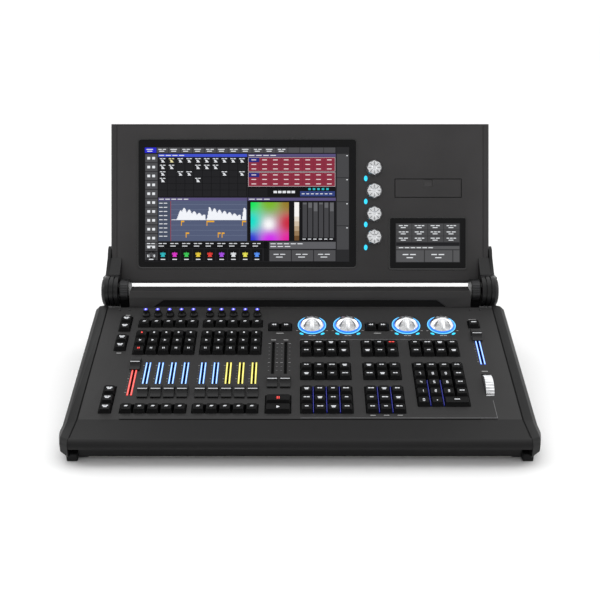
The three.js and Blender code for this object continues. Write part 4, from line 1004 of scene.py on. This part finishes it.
# ---------------------------------------------------------------- encoders
# Four turned aluminium knobs with eight scalloped flutes that fan out from a small flat top. Each
# stands in a lit acrylic ring let into the deck, with two oval lights behind it.

satin, satin_shader = finish("satin_aluminium", (0.62, 0.63, 0.65), 0.3, metal=1)
turning = grain(satin, 0.0005, (1, 1, 14))
toned(satin, satin_shader, turning, (0.7, 0.71, 0.73), (0.86, 0.87, 0.88))
roughened(satin, satin_shader, turning, 0.22, 0.38)
pebbled(satin, satin_shader, turning, 0.00003)


def fluted(lobes, depth, low, high):
    """Pulls a turned outline in between sharp ridges, by a share of its radius."""

    def reach(radius, height, angle):
        share = max(0.0, min(1.0, (height - low) / 0.002)) * (height <= high)
        return radius * (1 - depth * share * abs(math.sin(lobes / 2 * angle)))

    return reach


ring_edge, ring_glow, ring_well = bmesh.new(), bmesh.new(), bmesh.new()
oval_lights, dial_marks = bmesh.new(), bmesh.new()


def annulus(bm, x, y, inner, outer, low, high, place, points=64):
    """A flat closed ring between two radii and two heights."""
    spot = place @ Matrix.Translation((x, y, 0))
    loops = []
    for radius, height in ((outer, low), (outer, high), (inner, high), (inner, low)):
        loop = []
        for i in range(points):
            angle = 2 * math.pi * i / points
            at = Vector((radius * math.cos(angle), radius * math.sin(angle), height))
            loop.append(bm.verts.new(spot @ at))
        loops.append(loop)
    for here, ahead in zip(loops, loops[1:] + loops[:1]):
        for i in range(points):
            j = (i + 1) % points
            bm.faces.new((here[i], here[j], ahead[j], ahead[i]))


for i in range(1, 5):
    node = f"encoder_{i}"
    low, high = span(node, deck)
    x, y = (low.x + high.x) / 2, (low.y + high.y) / 2
    radius = (high.x - low.x) / 2 + 0.0008
    top = high.z
    profile = [(0.003, low.z), (0.003, 0.0012), (radius + 0.0008, 0.0012)]
    profile += [(radius + 0.0014, 0.0018), (radius + 0.0014, 0.0028), (radius + 0.0006, 0.0044)]
    profile += [(radius - 0.0013, 0.0068), (0.014, 0.0096), (0.0112, 0.0118), (0.008, 0.0134)]
    profile += [(0.0052, 0.0143), (0.0044, top - 0.0006), (0.0036, top - 0.0002)]
    profile += [(0.0008, top - 0.0001)]
    knob = bmesh.new()
    spot = deck @ Matrix.Translation((x, y, 0))
    turned(knob, profile, spot, 96, fluted(8, 0.19, 0.0036, 0.0143))
    piece = made(node + "_knob", knob, satin, node.replace("encoder", "encoder_knob"))
    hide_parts(node)
    annulus(ring_well, x, y, 0.0155, 0.0228, -0.0002, 0.0002, deck)
    annulus(ring_glow, x, y, 0.0165, 0.0208, -0.0001, 0.0006, deck)
    annulus(ring_edge, x, y, 0.0209, 0.0224, -0.0001, 0.0009, deck)
    for side in (-1, 1):
        turn = Matrix.Translation((x + side * 0.0165, y - 0.0215, 0)) @ Matrix.Rotation(
            side * math.radians(32), 4, "Z"
        )
        slab(oval_lights, disc(0, 0, 0.0034, 20, 0.0018), -0.0002, 0.0006, deck @ turn)
        slab(dial_marks, oblong(x + side * 0.0235, y - 0.0134, 0.003, 0.0007), -0.0002, 0.00012,
             deck)
made("encoder_ring_wells", ring_well, carrier_black, "case")
made("encoder_ring_glow", ring_glow, glow_finish("ring_blue", (0.02, 0.2, 1.0), 1.0), "case")
made("encoder_ring_edges", ring_edge, glow_finish("ring_cyan", (0.12, 0.55, 1.0), 1.0), "case")
cyan_light = glow_finish("cyan_light", (0.02, 0.62, 0.95), 0.95)
made("encoder_oval_lights", oval_lights, cyan_light, "case")
# The white marks are print with a faint glow of their own: painted light.
made("encoder_marks", dial_marks, pale_print_painted_glow, "case")

# ---------------------------------------------------------------- playback knobs
# Ten small knobs, black plastic with a straight-cut skirt and a knurled neck. A clear pipe in
# the top is lit white at its middle and blue round it.

pipe_white = glow_finish("knob_light", (0.75, 0.8, 1.0), 1.1)
pipe_blue = glow_finish("knob_halo", (0.06, 0.05, 0.8), 0.8)
for i in range(1, 11):
    node = f"playback_knob_{i}"
    low, high = span(node, deck)
    x, y = (low.x + high.x) / 2, (low.y + high.y) / 2
    top, wide = high.z, (high.x - low.x) / 2
    profile = [(0.003, low.z), (0.003, 0.0005), (wide - 0.0004, 0.0005), (wide, 0.0009)]
    profile += [(wide, 0.0032), (wide - 0.0006, 0.0038), (0.0049, 0.0054), (0.0046, 0.0062)]
    profile += [(0.0045, top - 0.0006), (0.0041, top), (0.0034, top - 0.0001)]
    profile += [(0.0033, top - 0.0006), (0.0005, top - 0.0006)]
    knob = bmesh.new()
    spot = deck @ Matrix.Translation((x, y, 0))
    turned(knob, profile, spot, 72, fluted(36, 0.06, 0.0042, top - 0.0008))
    piece = made(node + "_body", knob, cap_plastic, f"knob_{i}")
    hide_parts(node)
    light = bmesh.new()
    turned(light, [(0.0013, top - 0.0009), (0.0013, top), (0.0006, top + 0.0003)], spot, 24)
    halo = bmesh.new()
    turned(halo, [(0.0031, top - 0.0009), (0.0031, top - 0.0003), (0.0026, top - 0.0001)], spot)
    made(node + "_halo", halo, pipe_blue, f"knob_{i}")
    made(node + "_light", light, pipe_white, f"knob_{i}")

# ---------------------------------------------------------------- thumb wheel
# An aluminium roller with ribs cut across its rim, set edge-on in the deck between the ears of
# the control board.

eased("thumb_wheel", satin, 0.00025, 2)

# ---------------------------------------------------------------- deck print
# Screen-printed in pale ink straight onto the coat: a fine frame round the programmer and plain
# caption bars by the controls, the ink given a faint glow of its own as painted light. The words are
# left out.

frame_lines, captions = bmesh.new(), bmesh.new()
LINE = 0.0006
block_left, _ = span("programmer_keys_left", deck)
_, block_right = span("programmer_keys_right", deck)
panel_edge = block_right.x + 0.034
line_y = -0.0823
foot_y = -0.2585
rules = [
    ((block_left.x + block_right.x) / 2, line_y, block_right.x - block_left.x, LINE),
    ((block_left.x + panel_edge) / 2, foot_y, panel_edge - block_left.x, LINE),
    (panel_edge, foot_y + 0.0187, LINE, 0.0374),
]
for x, y, width, length in rules:
    rule_top = 0.0013 if y == foot_y else 0.0001
    slab(frame_lines, oblong(x, y, width, length), -0.0002, rule_top, deck)


def deck_caption(x, y, width, words=1):
    """A caption bar printed on the deck."""
    caption(captions, x, y, width, deck, -0.0002, 0.00012, 0.0012, words)


for field, group in (("seek_keys", 0), ("programmer_keys_middle", 0), ("master_key", 0)):
    row = key_places[field][group][0]
    up = 0.0128 if field == "master_key" else -0.0148
    deck_caption(sum(x for x, _ in row) / len(row), row[0][1] + up, 0.014)
for node in ("crossfader_left", "crossfader_right", "master_fader"):
    low, high = span(node, deck)
    deck_caption((low.x + high.x) / 2, -0.0835 if "cross" in node else -0.0615, 0.009)
wheel_low, wheel_high = span("thumb_wheel", deck)
deck_caption((wheel_low.x + wheel_high.x) / 2, wheel_high.y + 0.004, 0.011)
for i in range(1, 5):
    low, high = span(f"encoder_{i}", deck)
    deck_caption((low.x + high.x) / 2, low.y - 0.0095, 0.012, 2)
for group, row, up in ((0, 0, 0.0135), (1, -1, -0.0145)):
    x, y = key_places["left_column_keys"][group][row][0]
    deck_caption(x, y + up, 0.009)
for x, y in key_places["programmer_keys_middle"][3][-1]:
    caption(captions, x, y - 0.0132, 0.009, deck, -0.0002, 0.0004, 0.0012, 1)
made("printed_frame", frame_lines, faint_print, "case")
made("printed_captions", captions, pale_print_painted_glow, "case")

# ---------------------------------------------------------------- lid shell
# The back of the lid is a deep aluminium tray with chamfered rear edges and side bands rolled over
# the face, black satin coat. Behind it are cooling slots, screws and a cable grommet.

lid_coat = powder_coat("lid_coat", (0.032, 0.0305, 0.031), 0.43)
eased("lid_rear_shell", lid_coat, 0.0012, 3)
LID_LEAN = math.radians(22.5)
lid = Matrix.Translation(hinge_line) @ Matrix.Rotation(-LID_LEAN, 4, "X")
shell_low, shell_high = span("lid_rear_shell", lid)
face_low, _ = span("lid_front_panel", lid)
# Outlines on the lid are (x, height up the face); face stands on its front, back on its rear.
face = lid @ Matrix.Translation((0, face_low.y, 0)) @ Matrix.Rotation(math.pi / 2, 4, "X")
back = (
    lid
    @ Matrix.Translation((0, shell_high.y, 0))
    @ Matrix.Rotation(math.pi, 4, "Z")
    @ Matrix.Rotation(math.pi / 2, 4, "X")
)
# The cooling slots are flat black slabs: painted shade of the holes.
cooling_slots = bmesh.new()
lid_middle = (shell_low.z + shell_high.z) / 2
for bank in (-1, 0, 1):
    for row in range(12):
        for column in range(2):
            x = bank * 0.17 + (column - 0.5) * 0.062
            y = lid_middle + 0.012 + row * 0.0075
            slab(cooling_slots, oblong(x, y, 0.054, 0.0032, 0.0015), -0.0002, 0.00035, back)
made("lid_cooling_slots", cooling_slots, plastic_and_hole_shade, "lid")
rib = bmesh.new()
service = oblong(0, lid_middle - 0.062, 0.5, 0.072, 0.006)
slab(rib, service, -0.0002, 0.001, back)
made("lid_service_cover", rib, lid_coat, "lid", soft=0.0005)
screws("lid_cover_screws",
       [(x, lid_middle - 0.062 + up) for x in (-0.242, 0, 0.242) for up in (-0.03, 0.03)],
       back @ Matrix.Translation((0, 0, 0.001)), 0.0025, "lid")
screws("lid_back_screws",
       [(side * 0.3, shell_low.z + up) for side in (-1, 1) for up in (0.02, 0.134, 0.248)],
       back, 0.0029, "lid")
grommet = bmesh.new()
ring = [(0.009, -0.0003), (0.009, 0.0012), (0.0075, 0.0026), (0.005, 0.0026), (0.0045, 0.0008)]
for side in (-1, 1):
    spot = back @ Matrix.Translation((side * 0.262, shell_low.z + 0.022, 0))
    turned(grommet, ring, spot, 36)
made("lid_cable_grommets", grommet, rubber, "lid")

# ---------------------------------------------------------------- lid front
# A flat aluminium face in the same coat, let in between the side bands, with a thin bevelled
# bezel round each screen.

eased("lid_front_panel", lid_coat, 0.00035)
bezel_metal = powder_coat("bezel_coat", (0.013, 0.0125, 0.0125), 0.3, 0.0012, gloss=0.5)
BEZEL_WIDTH = 0.0026
BEZEL_PROUD = 0.0006


def bezel(node, corner):
    """A raised frame round a screen, sloping down to its glass."""
    low, high = span(node, lid)
    x, y = (low.x + high.x) / 2, (low.z + high.z) / 2
    width, length = high.x - low.x, high.z - low.z
    bm = bmesh.new()
    loops = []
    for grow, height in (
        (BEZEL_WIDTH, -0.0002),
        (BEZEL_WIDTH, BEZEL_PROUD * 0.6),
        (BEZEL_WIDTH - 0.0007, BEZEL_PROUD),
        (BEZEL_WIDTH - 0.0014, BEZEL_PROUD),
        (-0.0006, -0.0004),
        (-0.0006, -0.0012),
    ):
        outline = oblong(x, y, width + 2 * grow, length + 2 * grow, corner + grow, 8)
        loops.append([bm.verts.new(face @ Vector((a, b, height))) for a, b in outline])
    for here, ahead in zip(loops, loops[1:] + loops[:1]):
        for i in range(len(here)):
            j = (i + 1) % len(here)
            bm.faces.new((here[i], here[j], ahead[j], ahead[i]))
    made(node + "_bezel", bm, bezel_metal, "lid")


bezel("main_screen", 0.006)
bezel("side_screen", 0.003)

# ---------------------------------------------------------------- screens
# Two touch panels: black-backed glass over a lit picture. The picture is built from flat glowing
# cells: soft buttons, plain grids, a waveform and a colour field, with bars in place of words.

glass, glass_shader = finish("touch_glass", (0.003, 0.003, 0.0035), 0.12, gloss=0.12)
smears = grain(glass, 0.03, (1, 2.5, 1), 6)
roughened(glass, glass_shader, smears, 0.08, 0.2)
pebbled(glass, glass_shader, smears, 0.00001, 0.2)
eased("main_screen", glass, 0.0003)
eased("side_screen", glass, 0.0003)

picture, picture_shader = finish("lit_picture", (0, 0, 0), 0.25, gloss=0.1)
cells_colour = picture.node_tree.nodes.new("ShaderNodeVertexColor")
cells_colour.layer_name = "tint"
dots = grain(picture, 0.0007, detail=0)
shade = picture.node_tree.nodes.new("ShaderNodeMapRange")
shade.inputs["To Min"].default_value = 0.86
shade.inputs["To Max"].default_value = 1.1
dotted = picture.node_tree.nodes.new("ShaderNodeMix")
dotted.data_type = "RGBA"
dotted.blend_type = "MULTIPLY"
dotted.inputs["Factor"].default_value = 1
picture.node_tree.links.new(dots, shade.inputs["Value"])
picture.node_tree.links.new(cells_colour.outputs["Color"], dotted.inputs["A"])
picture.node_tree.links.new(shade.outputs["Result"], dotted.inputs["B"])
picture.node_tree.links.new(dotted.outputs["Result"], picture_shader.inputs["Emission Color"])
picture_shader.inputs["Emission Strength"].default_value = 1.0

GREY = (0.075, 0.075, 0.08)
PALE = (0.8, 0.82, 0.85)
NIGHT = (0.003, 0.003, 0.004)
DARK = (0.012, 0.012, 0.014)
SLATE = (0.085, 0.105, 0.185)
ROYAL = (0.02, 0.02, 0.6)
CRIMSON = (0.26, 0.025, 0.05)
ORANGE = (0.8, 0.4, 0.03)
GOLD = (0.85, 0.62, 0.05)
TEAL = (0.03, 0.5, 0.55)
LAYER = 0.00006


class Picture:
    """Cells on one screen, placed by shares of its active area, from its upper left corner."""

    def __init__(self, x, y, width, length, depth):
        self.left, self.top = x - width / 2, y + length / 2
        self.width, self.length = width, length
        self.place = face @ Matrix.Translation((0, 0, depth))
        self.bm = bmesh.new()
        self.bm.verts.layers.float_color.new("tint")

    def shape(self, points, tint, level=1):
        outline = [(self.left + a * self.width, self.top - b * self.length) for a, b in points]
        slab(self.bm, outline[::-1], (level - 1) * LAYER, level * LAYER, self.place, tint)

    def cell(self, a, b, c, d, tint, level=1):
        """A rectangle from share a to c across and share b to d down."""
        self.shape([(a, b), (c, b), (c, d), (a, d)], tint, level)

    def words(self, a, b, c, count=2, tint=PALE, level=3, tall=0.007):
        """A line of short bars from a to c at height b."""
        step = (c - a) / count
        for i in range(count):
            self.cell(a + i * step, b - tall / 2, a + (i + 0.76) * step, b + tall / 2, tint, level)


main_low, _ = span("main_screen", lid)
glass_depth = face_low.y - main_low.y
PICTURE_WIDTH, PICTURE_LENGTH = 0.3442, 0.193
show = Picture(main_low.x + 0.0112 + PICTURE_WIDTH / 2, main_low.z + 0.0099 + PICTURE_LENGTH / 2,
               PICTURE_WIDTH, PICTURE_LENGTH, glass_depth)
show.cell(0, 0, 1, 1, DARK)
# Top row of sixteen soft buttons, and the column of twelve at the left.
for i in range(16):
    a = i / 16 * 0.935
    show.cell(a, 0.004, a + 0.056, 0.05, ROYAL if i == 0 else GREY, 2)
    if i < 12:
        show.words(a + 0.008, 0.02, a + 0.05, 1 + i % 2)
        show.words(a + 0.012, 0.036, a + 0.044, 1)
for i in range(12):
    b = 0.062 + i * 0.0775
    show.cell(0.002, b, 0.062, b + 0.071, GREY, 2)
    for dot in (0, 1):
        show.cell(0.012 + dot * 0.024, b + 0.024, 0.026 + dot * 0.024, b + 0.046, PALE, 3)
# First window: a grid of ten columns with small marks in its upper rows.
show.cell(0.066, 0.06, 0.5, 0.435, NIGHT, 2)
show.cell(0.066, 0.06, 0.5, 0.086, (0.05, 0.08, 0.6), 3)
show.words(0.07, 0.073, 0.2, 4, level=4)
GRID_MARKS = ["0123456789", "01456", "02379", "04", "", ""]
for r, marks in enumerate(GRID_MARKS):
    for c in range(10):
        a, b = 0.068 + c * 0.0431, 0.09 + r * 0.0573
        show.cell(a, b, a + 0.0405, b + 0.0535, (0.012, 0.012, 0.014), 3)
        if str(c) in marks:
            warm = (0.85, 0.78, 0.4) if (r, c) == (0, 1) else PALE
            show.words(a + 0.006, b + 0.011, a + 0.036, 2, tint=warm, level=4)
            glyph = [(a + 0.012, b + 0.044), (a + 0.02, b + 0.02), (a + 0.03, b + 0.044)]
            show.shape(glyph, warm, 4)
            show.cell(a + 0.012, b + 0.02, a + 0.018, b + 0.03, warm, 4)
# Second window: two crimson playback tables over a dark strip.
show.cell(0.504, 0.06, 0.934, 0.435, NIGHT, 2)
show.cell(0.504, 0.06, 0.934, 0.086, (0.1, 0.08, 0.2), 3)
show.words(0.51, 0.073, 0.65, 4, level=4)
for top in (0.09, 0.221):
    show.cell(0.506, top, 0.932, top + 0.123, (0.75, 0.65, 0.68), 3)
    show.cell(0.5075, top + 0.0025, 0.9305, top + 0.1205, (0.12, 0.01, 0.03), 4)
    for r in range(3):
        for c in range(8):
            a, b = 0.508 + c * 0.0528, top + 0.003 + r * 0.0393
            first = (r, c) == (0, 0)
            show.cell(a, b, a + 0.052, b + 0.0385, (0.02, 0.02, 0.2) if first else CRIMSON, 5)
            show.words(a + 0.014, b + 0.019, a + 0.044, 1, tint=(0.9, 0.75, 0.77), level=6)
show.words(0.63, 0.392, 0.74, 5, level=4, tall=0.02)
for i in range(5):
    show.cell(0.8 + i * 0.022, 0.358, 0.812 + i * 0.022, 0.375, TEAL, 4)
show.cell(0.508, 0.36, 0.6, 0.43, (0.008, 0.008, 0.01), 3)
show.cell(0.76, 0.385, 0.93, 0.43, (0.03, 0.05, 0.2), 3)
for i in range(7):
    show.words(0.768 + i * 0.0225, 0.408, 0.786 + i * 0.0225, 1, level=4)
# Third window: a timeline with a waveform, flags below it and labels down its left side.
show.cell(0.066, 0.442, 0.5, 0.82, SLATE, 2)
show.cell(0.066, 0.442, 0.5, 0.468, (0.1, 0.08, 0.2), 3)
show.words(0.07, 0.455, 0.22, 5, level=4)
show.cell(0.066, 0.47, 0.126, 0.82, (0.06, 0.075, 0.12), 3)
for i in range(9):
    show.words(0.07, 0.49 + i * 0.036, 0.115, 2, level=4)
for i in range(7):
    show.cell(0.128, 0.5 + i * 0.045, 0.498, 0.5016 + i * 0.045, (0.2, 0.24, 0.34), 3)
show.cell(0.126, 0.47, 0.1275, 0.82, (0.6, 0.03, 0.05), 4)
WAVE_STEPS = 110
BURSTS = ((0.06, 0.13, 0.45), (0.465, 0.5, 0.92), (0.935, 0.96, 1.1))
for i in range(WAVE_STEPS):
    t = i / WAVE_STEPS
    swell = 0.03
    for start, crest, end in BURSTS:
        if start <= t < crest:
            swell = (t - start) / (crest - start)
        elif crest <= t < end:
            swell = 1 - 0.62 * (t - crest) / (end - crest)
    rise = 0.112 * swell * (0.62 + 0.38 * abs(math.sin(i * 12.9898)))
    a = 0.13 + t * 0.366
    show.cell(a, 0.635 - rise, a + 0.00335, 0.637, (0.9, 0.92, 0.97), 4)
for a, b, wide in ((0.177, 0.642, 0.016), (0.302, 0.642, 0.038), (0.476, 0.642, 0.02),
                   (0.2, 0.745, 0.017), (0.357, 0.745, 0.014), (0.376, 0.745, 0.014)):
    show.cell(a, b, a + 0.004, b + 0.045, ORANGE, 4)
    show.cell(a, b, a + wide, b + 0.014, ORANGE, 5)
# Fourth window: a square colour field, a white bar, dark level bars and their labels.
show.cell(0.504, 0.442, 0.934, 0.82, NIGHT, 2)
show.cell(0.504, 0.442, 0.934, 0.468, (0.1, 0.08, 0.2), 3)
show.words(0.51, 0.455, 0.62, 3, level=4)
HUES = ((0, 0.8, 0.1), (0.2, 0.48, 0.02), (0.3, 0.2, 0.02), (0.6, 0.02, 0.05), (0.8, 0.01, 0.35),
        (0.65, 0.02, 0.85), (0.02, 0.03, 0.65), (0, 0.75, 0.6))
CORNERS = ((0, 0), (0.5, 0), (1, 0), (1, 0.55), (1, 1), (0.5, 1), (0, 1), (0, 0.5))
FIELD_STEPS = 26
for r in range(FIELD_STEPS):
    for c in range(FIELD_STEPS):
        a, b = (c + 0.5) / FIELD_STEPS, (r + 0.5) / FIELD_STEPS
        weights = [1 / ((a - x) ** 2 + (b - y) ** 2 + 0.004) ** 1.4 for x, y in CORNERS]
        centre = 0.3 / ((a - 0.47) ** 2 + (b - 0.58) ** 2 + 0.004) ** 1.4
        total = sum(weights) + centre
        tint = [
            (sum(w * hue[k] for w, hue in zip(weights, HUES)) + centre) / total for k in range(3)
        ]
        x, y = 0.518 + c * 0.187 / FIELD_STEPS, 0.482 + r * 0.333 / FIELD_STEPS
        show.cell(x, y, x + 0.187 / FIELD_STEPS, y + 0.333 / FIELD_STEPS, tint, 3)
for i in range(8):
    shade_of = 0.95 - max(0, i - 2) * 0.16
    b = 0.482 + i * 0.0416
    show.cell(0.732, b, 0.755, b + 0.0416, (shade_of, shade_of**1.4, shade_of**2), 3)
for i in range(6):
    a = 0.772 + i * 0.0265
    show.cell(a, 0.482, a + 0.0215, 0.79, (0.055, 0.055, 0.06), 3)
    show.cell(a + 0.002, 0.486, a + 0.0195, 0.5 + 0.03 * (i % 3), (0.13, 0.13, 0.14), 4)
    show.words(a, 0.803, a + 0.02, 1, level=4)
# Foot of the screen: captions, ten coloured icons, a status bar and three soft buttons.
ICON_TINTS = (GREY, TEAL, (0.75, 0.04, 0.6), (0.05, 0.6, 0.1), GOLD, (0.8, 0.05, 0.04),
              (0.4, 0.08, 0.8), PALE, (0.85, 0.8, 0.1), (0.1, 0.3, 0.95))
show.cell(0.066, 0.828, 0.6, 0.884, NIGHT, 2)
for i, tint in enumerate(ICON_TINTS):
    a = 0.004 + i * 0.0575
    show.words(a + 0.006, 0.842, a + 0.05, 2, level=4)
    show.words(a + 0.006, 0.864, a + 0.04, 1, level=4)
    show.cell(a, 0.89, a + 0.054, 0.996, NIGHT, 2)
    show.cell(a + 0.012, 0.908, a + 0.042, 0.968, (0, 0, 0), 3)
    show.cell(a + 0.014, 0.922, a + 0.04, 0.94, [t * 0.8 for t in tint], 4)
    show.shape([(a + 0.016, 0.958), (a + 0.027, 0.914), (a + 0.038, 0.958)], tint, 4)
    show.cell(a + 0.016, 0.976, a + 0.038, 0.984, PALE, 3)
show.cell(0.582, 0.826, 0.606, 0.996, NIGHT, 2)
show.cell(0.61, 0.828, 0.934, 0.888, (0.11, 0.11, 0.12), 2)
show.words(0.615, 0.844, 0.78, 5, level=3)
show.words(0.615, 0.868, 0.72, 3, level=3)
for i in range(3):
    a = 0.61 + i * 0.109
    show.cell(a, 0.9, a + 0.105, 0.996, GREY, 2)
    show.words(a + 0.02, 0.936, a + 0.085, 2)
    show.words(a + 0.032, 0.96, a + 0.075, 1)
show.cell(0.938, 0, 1, 1, (0.02, 0.02, 0.022), 2)
for i in range(4):
    show.cell(0.94, 0.06 + i * 0.21, 0.998, 0.264 + i * 0.21, (0.06, 0.06, 0.064), 3)
    show.words(0.986, 0.075 + i * 0.21, 0.996, 1, level=4)
made("main_picture", show.bm, picture, "lid")

side_low, _ = span("side_screen", lid)
SIDE_WIDTH, SIDE_LENGTH = 0.1086, 0.0659
pad = Picture(side_low.x + 0.0101 + SIDE_WIDTH / 2, side_low.z + 0.0108 + SIDE_LENGTH / 2,
              SIDE_WIDTH, SIDE_LENGTH, glass_depth)
pad.cell(0, 0, 1, 1, (0.03, 0.03, 0.032))
for r in range(3):
    for c in range(4):
        a, b = 0.01 + c * 0.247, 0.012 + r * 0.16
        pad.cell(a, b, a + 0.237, b + 0.148, (0.065, 0.065, 0.068), 2)
        pad.words(a + 0.04, b + 0.05, a + 0.2, 2 + (r + c) % 2, tall=0.022)
        pad.words(a + 0.07, b + 0.1, a + 0.17, 1, tall=0.02)
pad.cell(0.01, 0.495, 0.99, 0.572, (0.012, 0.012, 0.014), 2)
pad.cell(0.01, 0.585, 0.99, 0.665, (0.1, 0.1, 0.104), 2)
pad.words(0.05, 0.625, 0.6, 6, tall=0.02)
for a, c in ((0.01, 0.44), (0.455, 0.88), (0.895, 0.99)):
    pad.cell(a, 0.69, c, 0.99, (0.09, 0.09, 0.094), 2)
    if c - a > 0.2:
        pad.words(a + 0.1, 0.8, c - 0.1, 2, tall=0.026)
        pad.words(a + 0.16, 0.88, c - 0.14, 1, tall=0.024)
made("side_picture", pad.bm, picture, "lid")

# ---------------------------------------------------------------- drive hatch
# A small coated door over a socket bay. It folds forward on its lower edge and is opened at its
# finger notch; behind it a black pocket holds two sockets.

eased("drive_hatch", lid_coat, 0.0004)
hatch_low, hatch_high = span("drive_hatch", lid)
hatch_x, hatch_y = (hatch_low.x + hatch_high.x) / 2, (hatch_low.z + hatch_high.z) / 2
hatch_width, hatch_length = hatch_high.x - hatch_low.x, hatch_high.z - hatch_low.z
NOTCH_WIDTH = 0.0143
NOTCH_LENGTH = 0.0122
latch = bmesh.new()
slab(latch, oblong(hatch_x, hatch_high.z - NOTCH_LENGTH / 2, NOTCH_WIDTH, NOTCH_LENGTH), -0.0017,
     -0.0011, face)
made("hatch_latch_plate", latch, lid_coat, "hatch", soft=0.0001)
# Black strips round the door's edges: painted shade in the gap.
hatch_gap_shade = bmesh.new()
for side in (-1, 1):
    slab(hatch_gap_shade, oblong(hatch_x + side * (hatch_width / 2 + 0.0006), hatch_y, 0.0009,
                      hatch_length + 0.0021), -0.0002, 0.00012, face)
    slab(hatch_gap_shade, oblong(hatch_x, hatch_y + side * (hatch_length / 2 + 0.0006),
                      hatch_width + 0.0003, 0.0009), -0.0002, 0.00012, face)
made("hatch_seal", hatch_gap_shade, slot_black_and_gap_shade, "lid")
pocket = bmesh.new()
slab(pocket, oblong(hatch_x, hatch_y, hatch_width + 0.004, hatch_length + 0.004), -0.014, -0.012,
     face)
for side in (-1, 1):
    wall_x = hatch_x + side * (hatch_width / 2 + 0.0018)
    slab(pocket, oblong(wall_x, hatch_y, 0.0012, hatch_length + 0.004), -0.0122, -0.0027, face)
    wall_y = hatch_y + side * (hatch_length / 2 + 0.0018)
    slab(pocket, oblong(hatch_x, wall_y, hatch_width + 0.002, 0.0012), -0.0122, -0.0027, face)
made("hatch_pocket", pocket, carrier_black, "lid")
bay_shells, bay_cores = bmesh.new(), bmesh.new()
bay = face @ Matrix.Translation((0, 0, -0.012))
for side in (-1, 1):
    framed_hole(bay_shells, bay_cores, hatch_x + side * 0.026, hatch_y - 0.003, 0.0142, 0.0068,
                0.0006, 0.003, bay)
made("hatch_sockets", bay_shells, bright_metal, "lid")
made("hatch_socket_cores", bay_cores, plastic_and_hole_shade, "lid")

# ---------------------------------------------------------------- screen encoders
# Four small turned aluminium knobs beside the main screen, each with eight radial grooves in its
# crown drawn as dark strips of painted shade, and an oval cyan light beside it.

lid_lights = bmesh.new()
for i in range(1, 5):
    node = f"screen_encoder_{i}"
    low, high = span(node, lid)
    x, y = (low.x + high.x) / 2, (low.z + high.z) / 2
    wide = (high.x - low.x) / 2
    top = face_low.y - low.y
    spot = face @ Matrix.Translation((x, y, 0))
    profile = [(0.003, -0.009), (0.003, 0.0005), (wide - 0.0007, 0.0005), (wide, 0.0011)]
    profile += [(wide, 0.0025), (wide - 0.0004, 0.0052), (wide - 0.0009, top - 0.0016)]
    profile += [(wide - 0.0018, top - 0.0003), (wide - 0.0028, top), (0.0046, top)]
    profile += [(0.004, top - 0.0007), (0.0006, top - 0.0009)]
    knob = bmesh.new()
    turned(knob, profile, spot, 96, fluted(8, 0.07, 0.001, top - 0.0002))
    piece = made(node + "_knob", knob, satin, f"screen_knob_{i}")
    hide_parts(node)
    # Dark strips on the crown where the grooves lie: painted shade in the grooves.
    groove_shade_lines = bmesh.new()
    for spoke in range(8):
        turn = spot @ Matrix.Rotation(spoke * math.pi / 4, 4, "Z")
        slab(groove_shade_lines, oblong(0.0074, 0, 0.0052, 0.0007), top - 0.0004, top + 0.00008, turn)
    made(node + "_grooves", groove_shade_lines, dark_steel_and_groove_shade, f"screen_knob_{i}")
    light = disc(x - 0.014, y - 0.0175, 0.0029, 20, 0.0046)
    slab(lid_lights, light, -0.0002, 0.0008, face)
made("screen_encoder_lights", lid_lights, cyan_light, "lid")
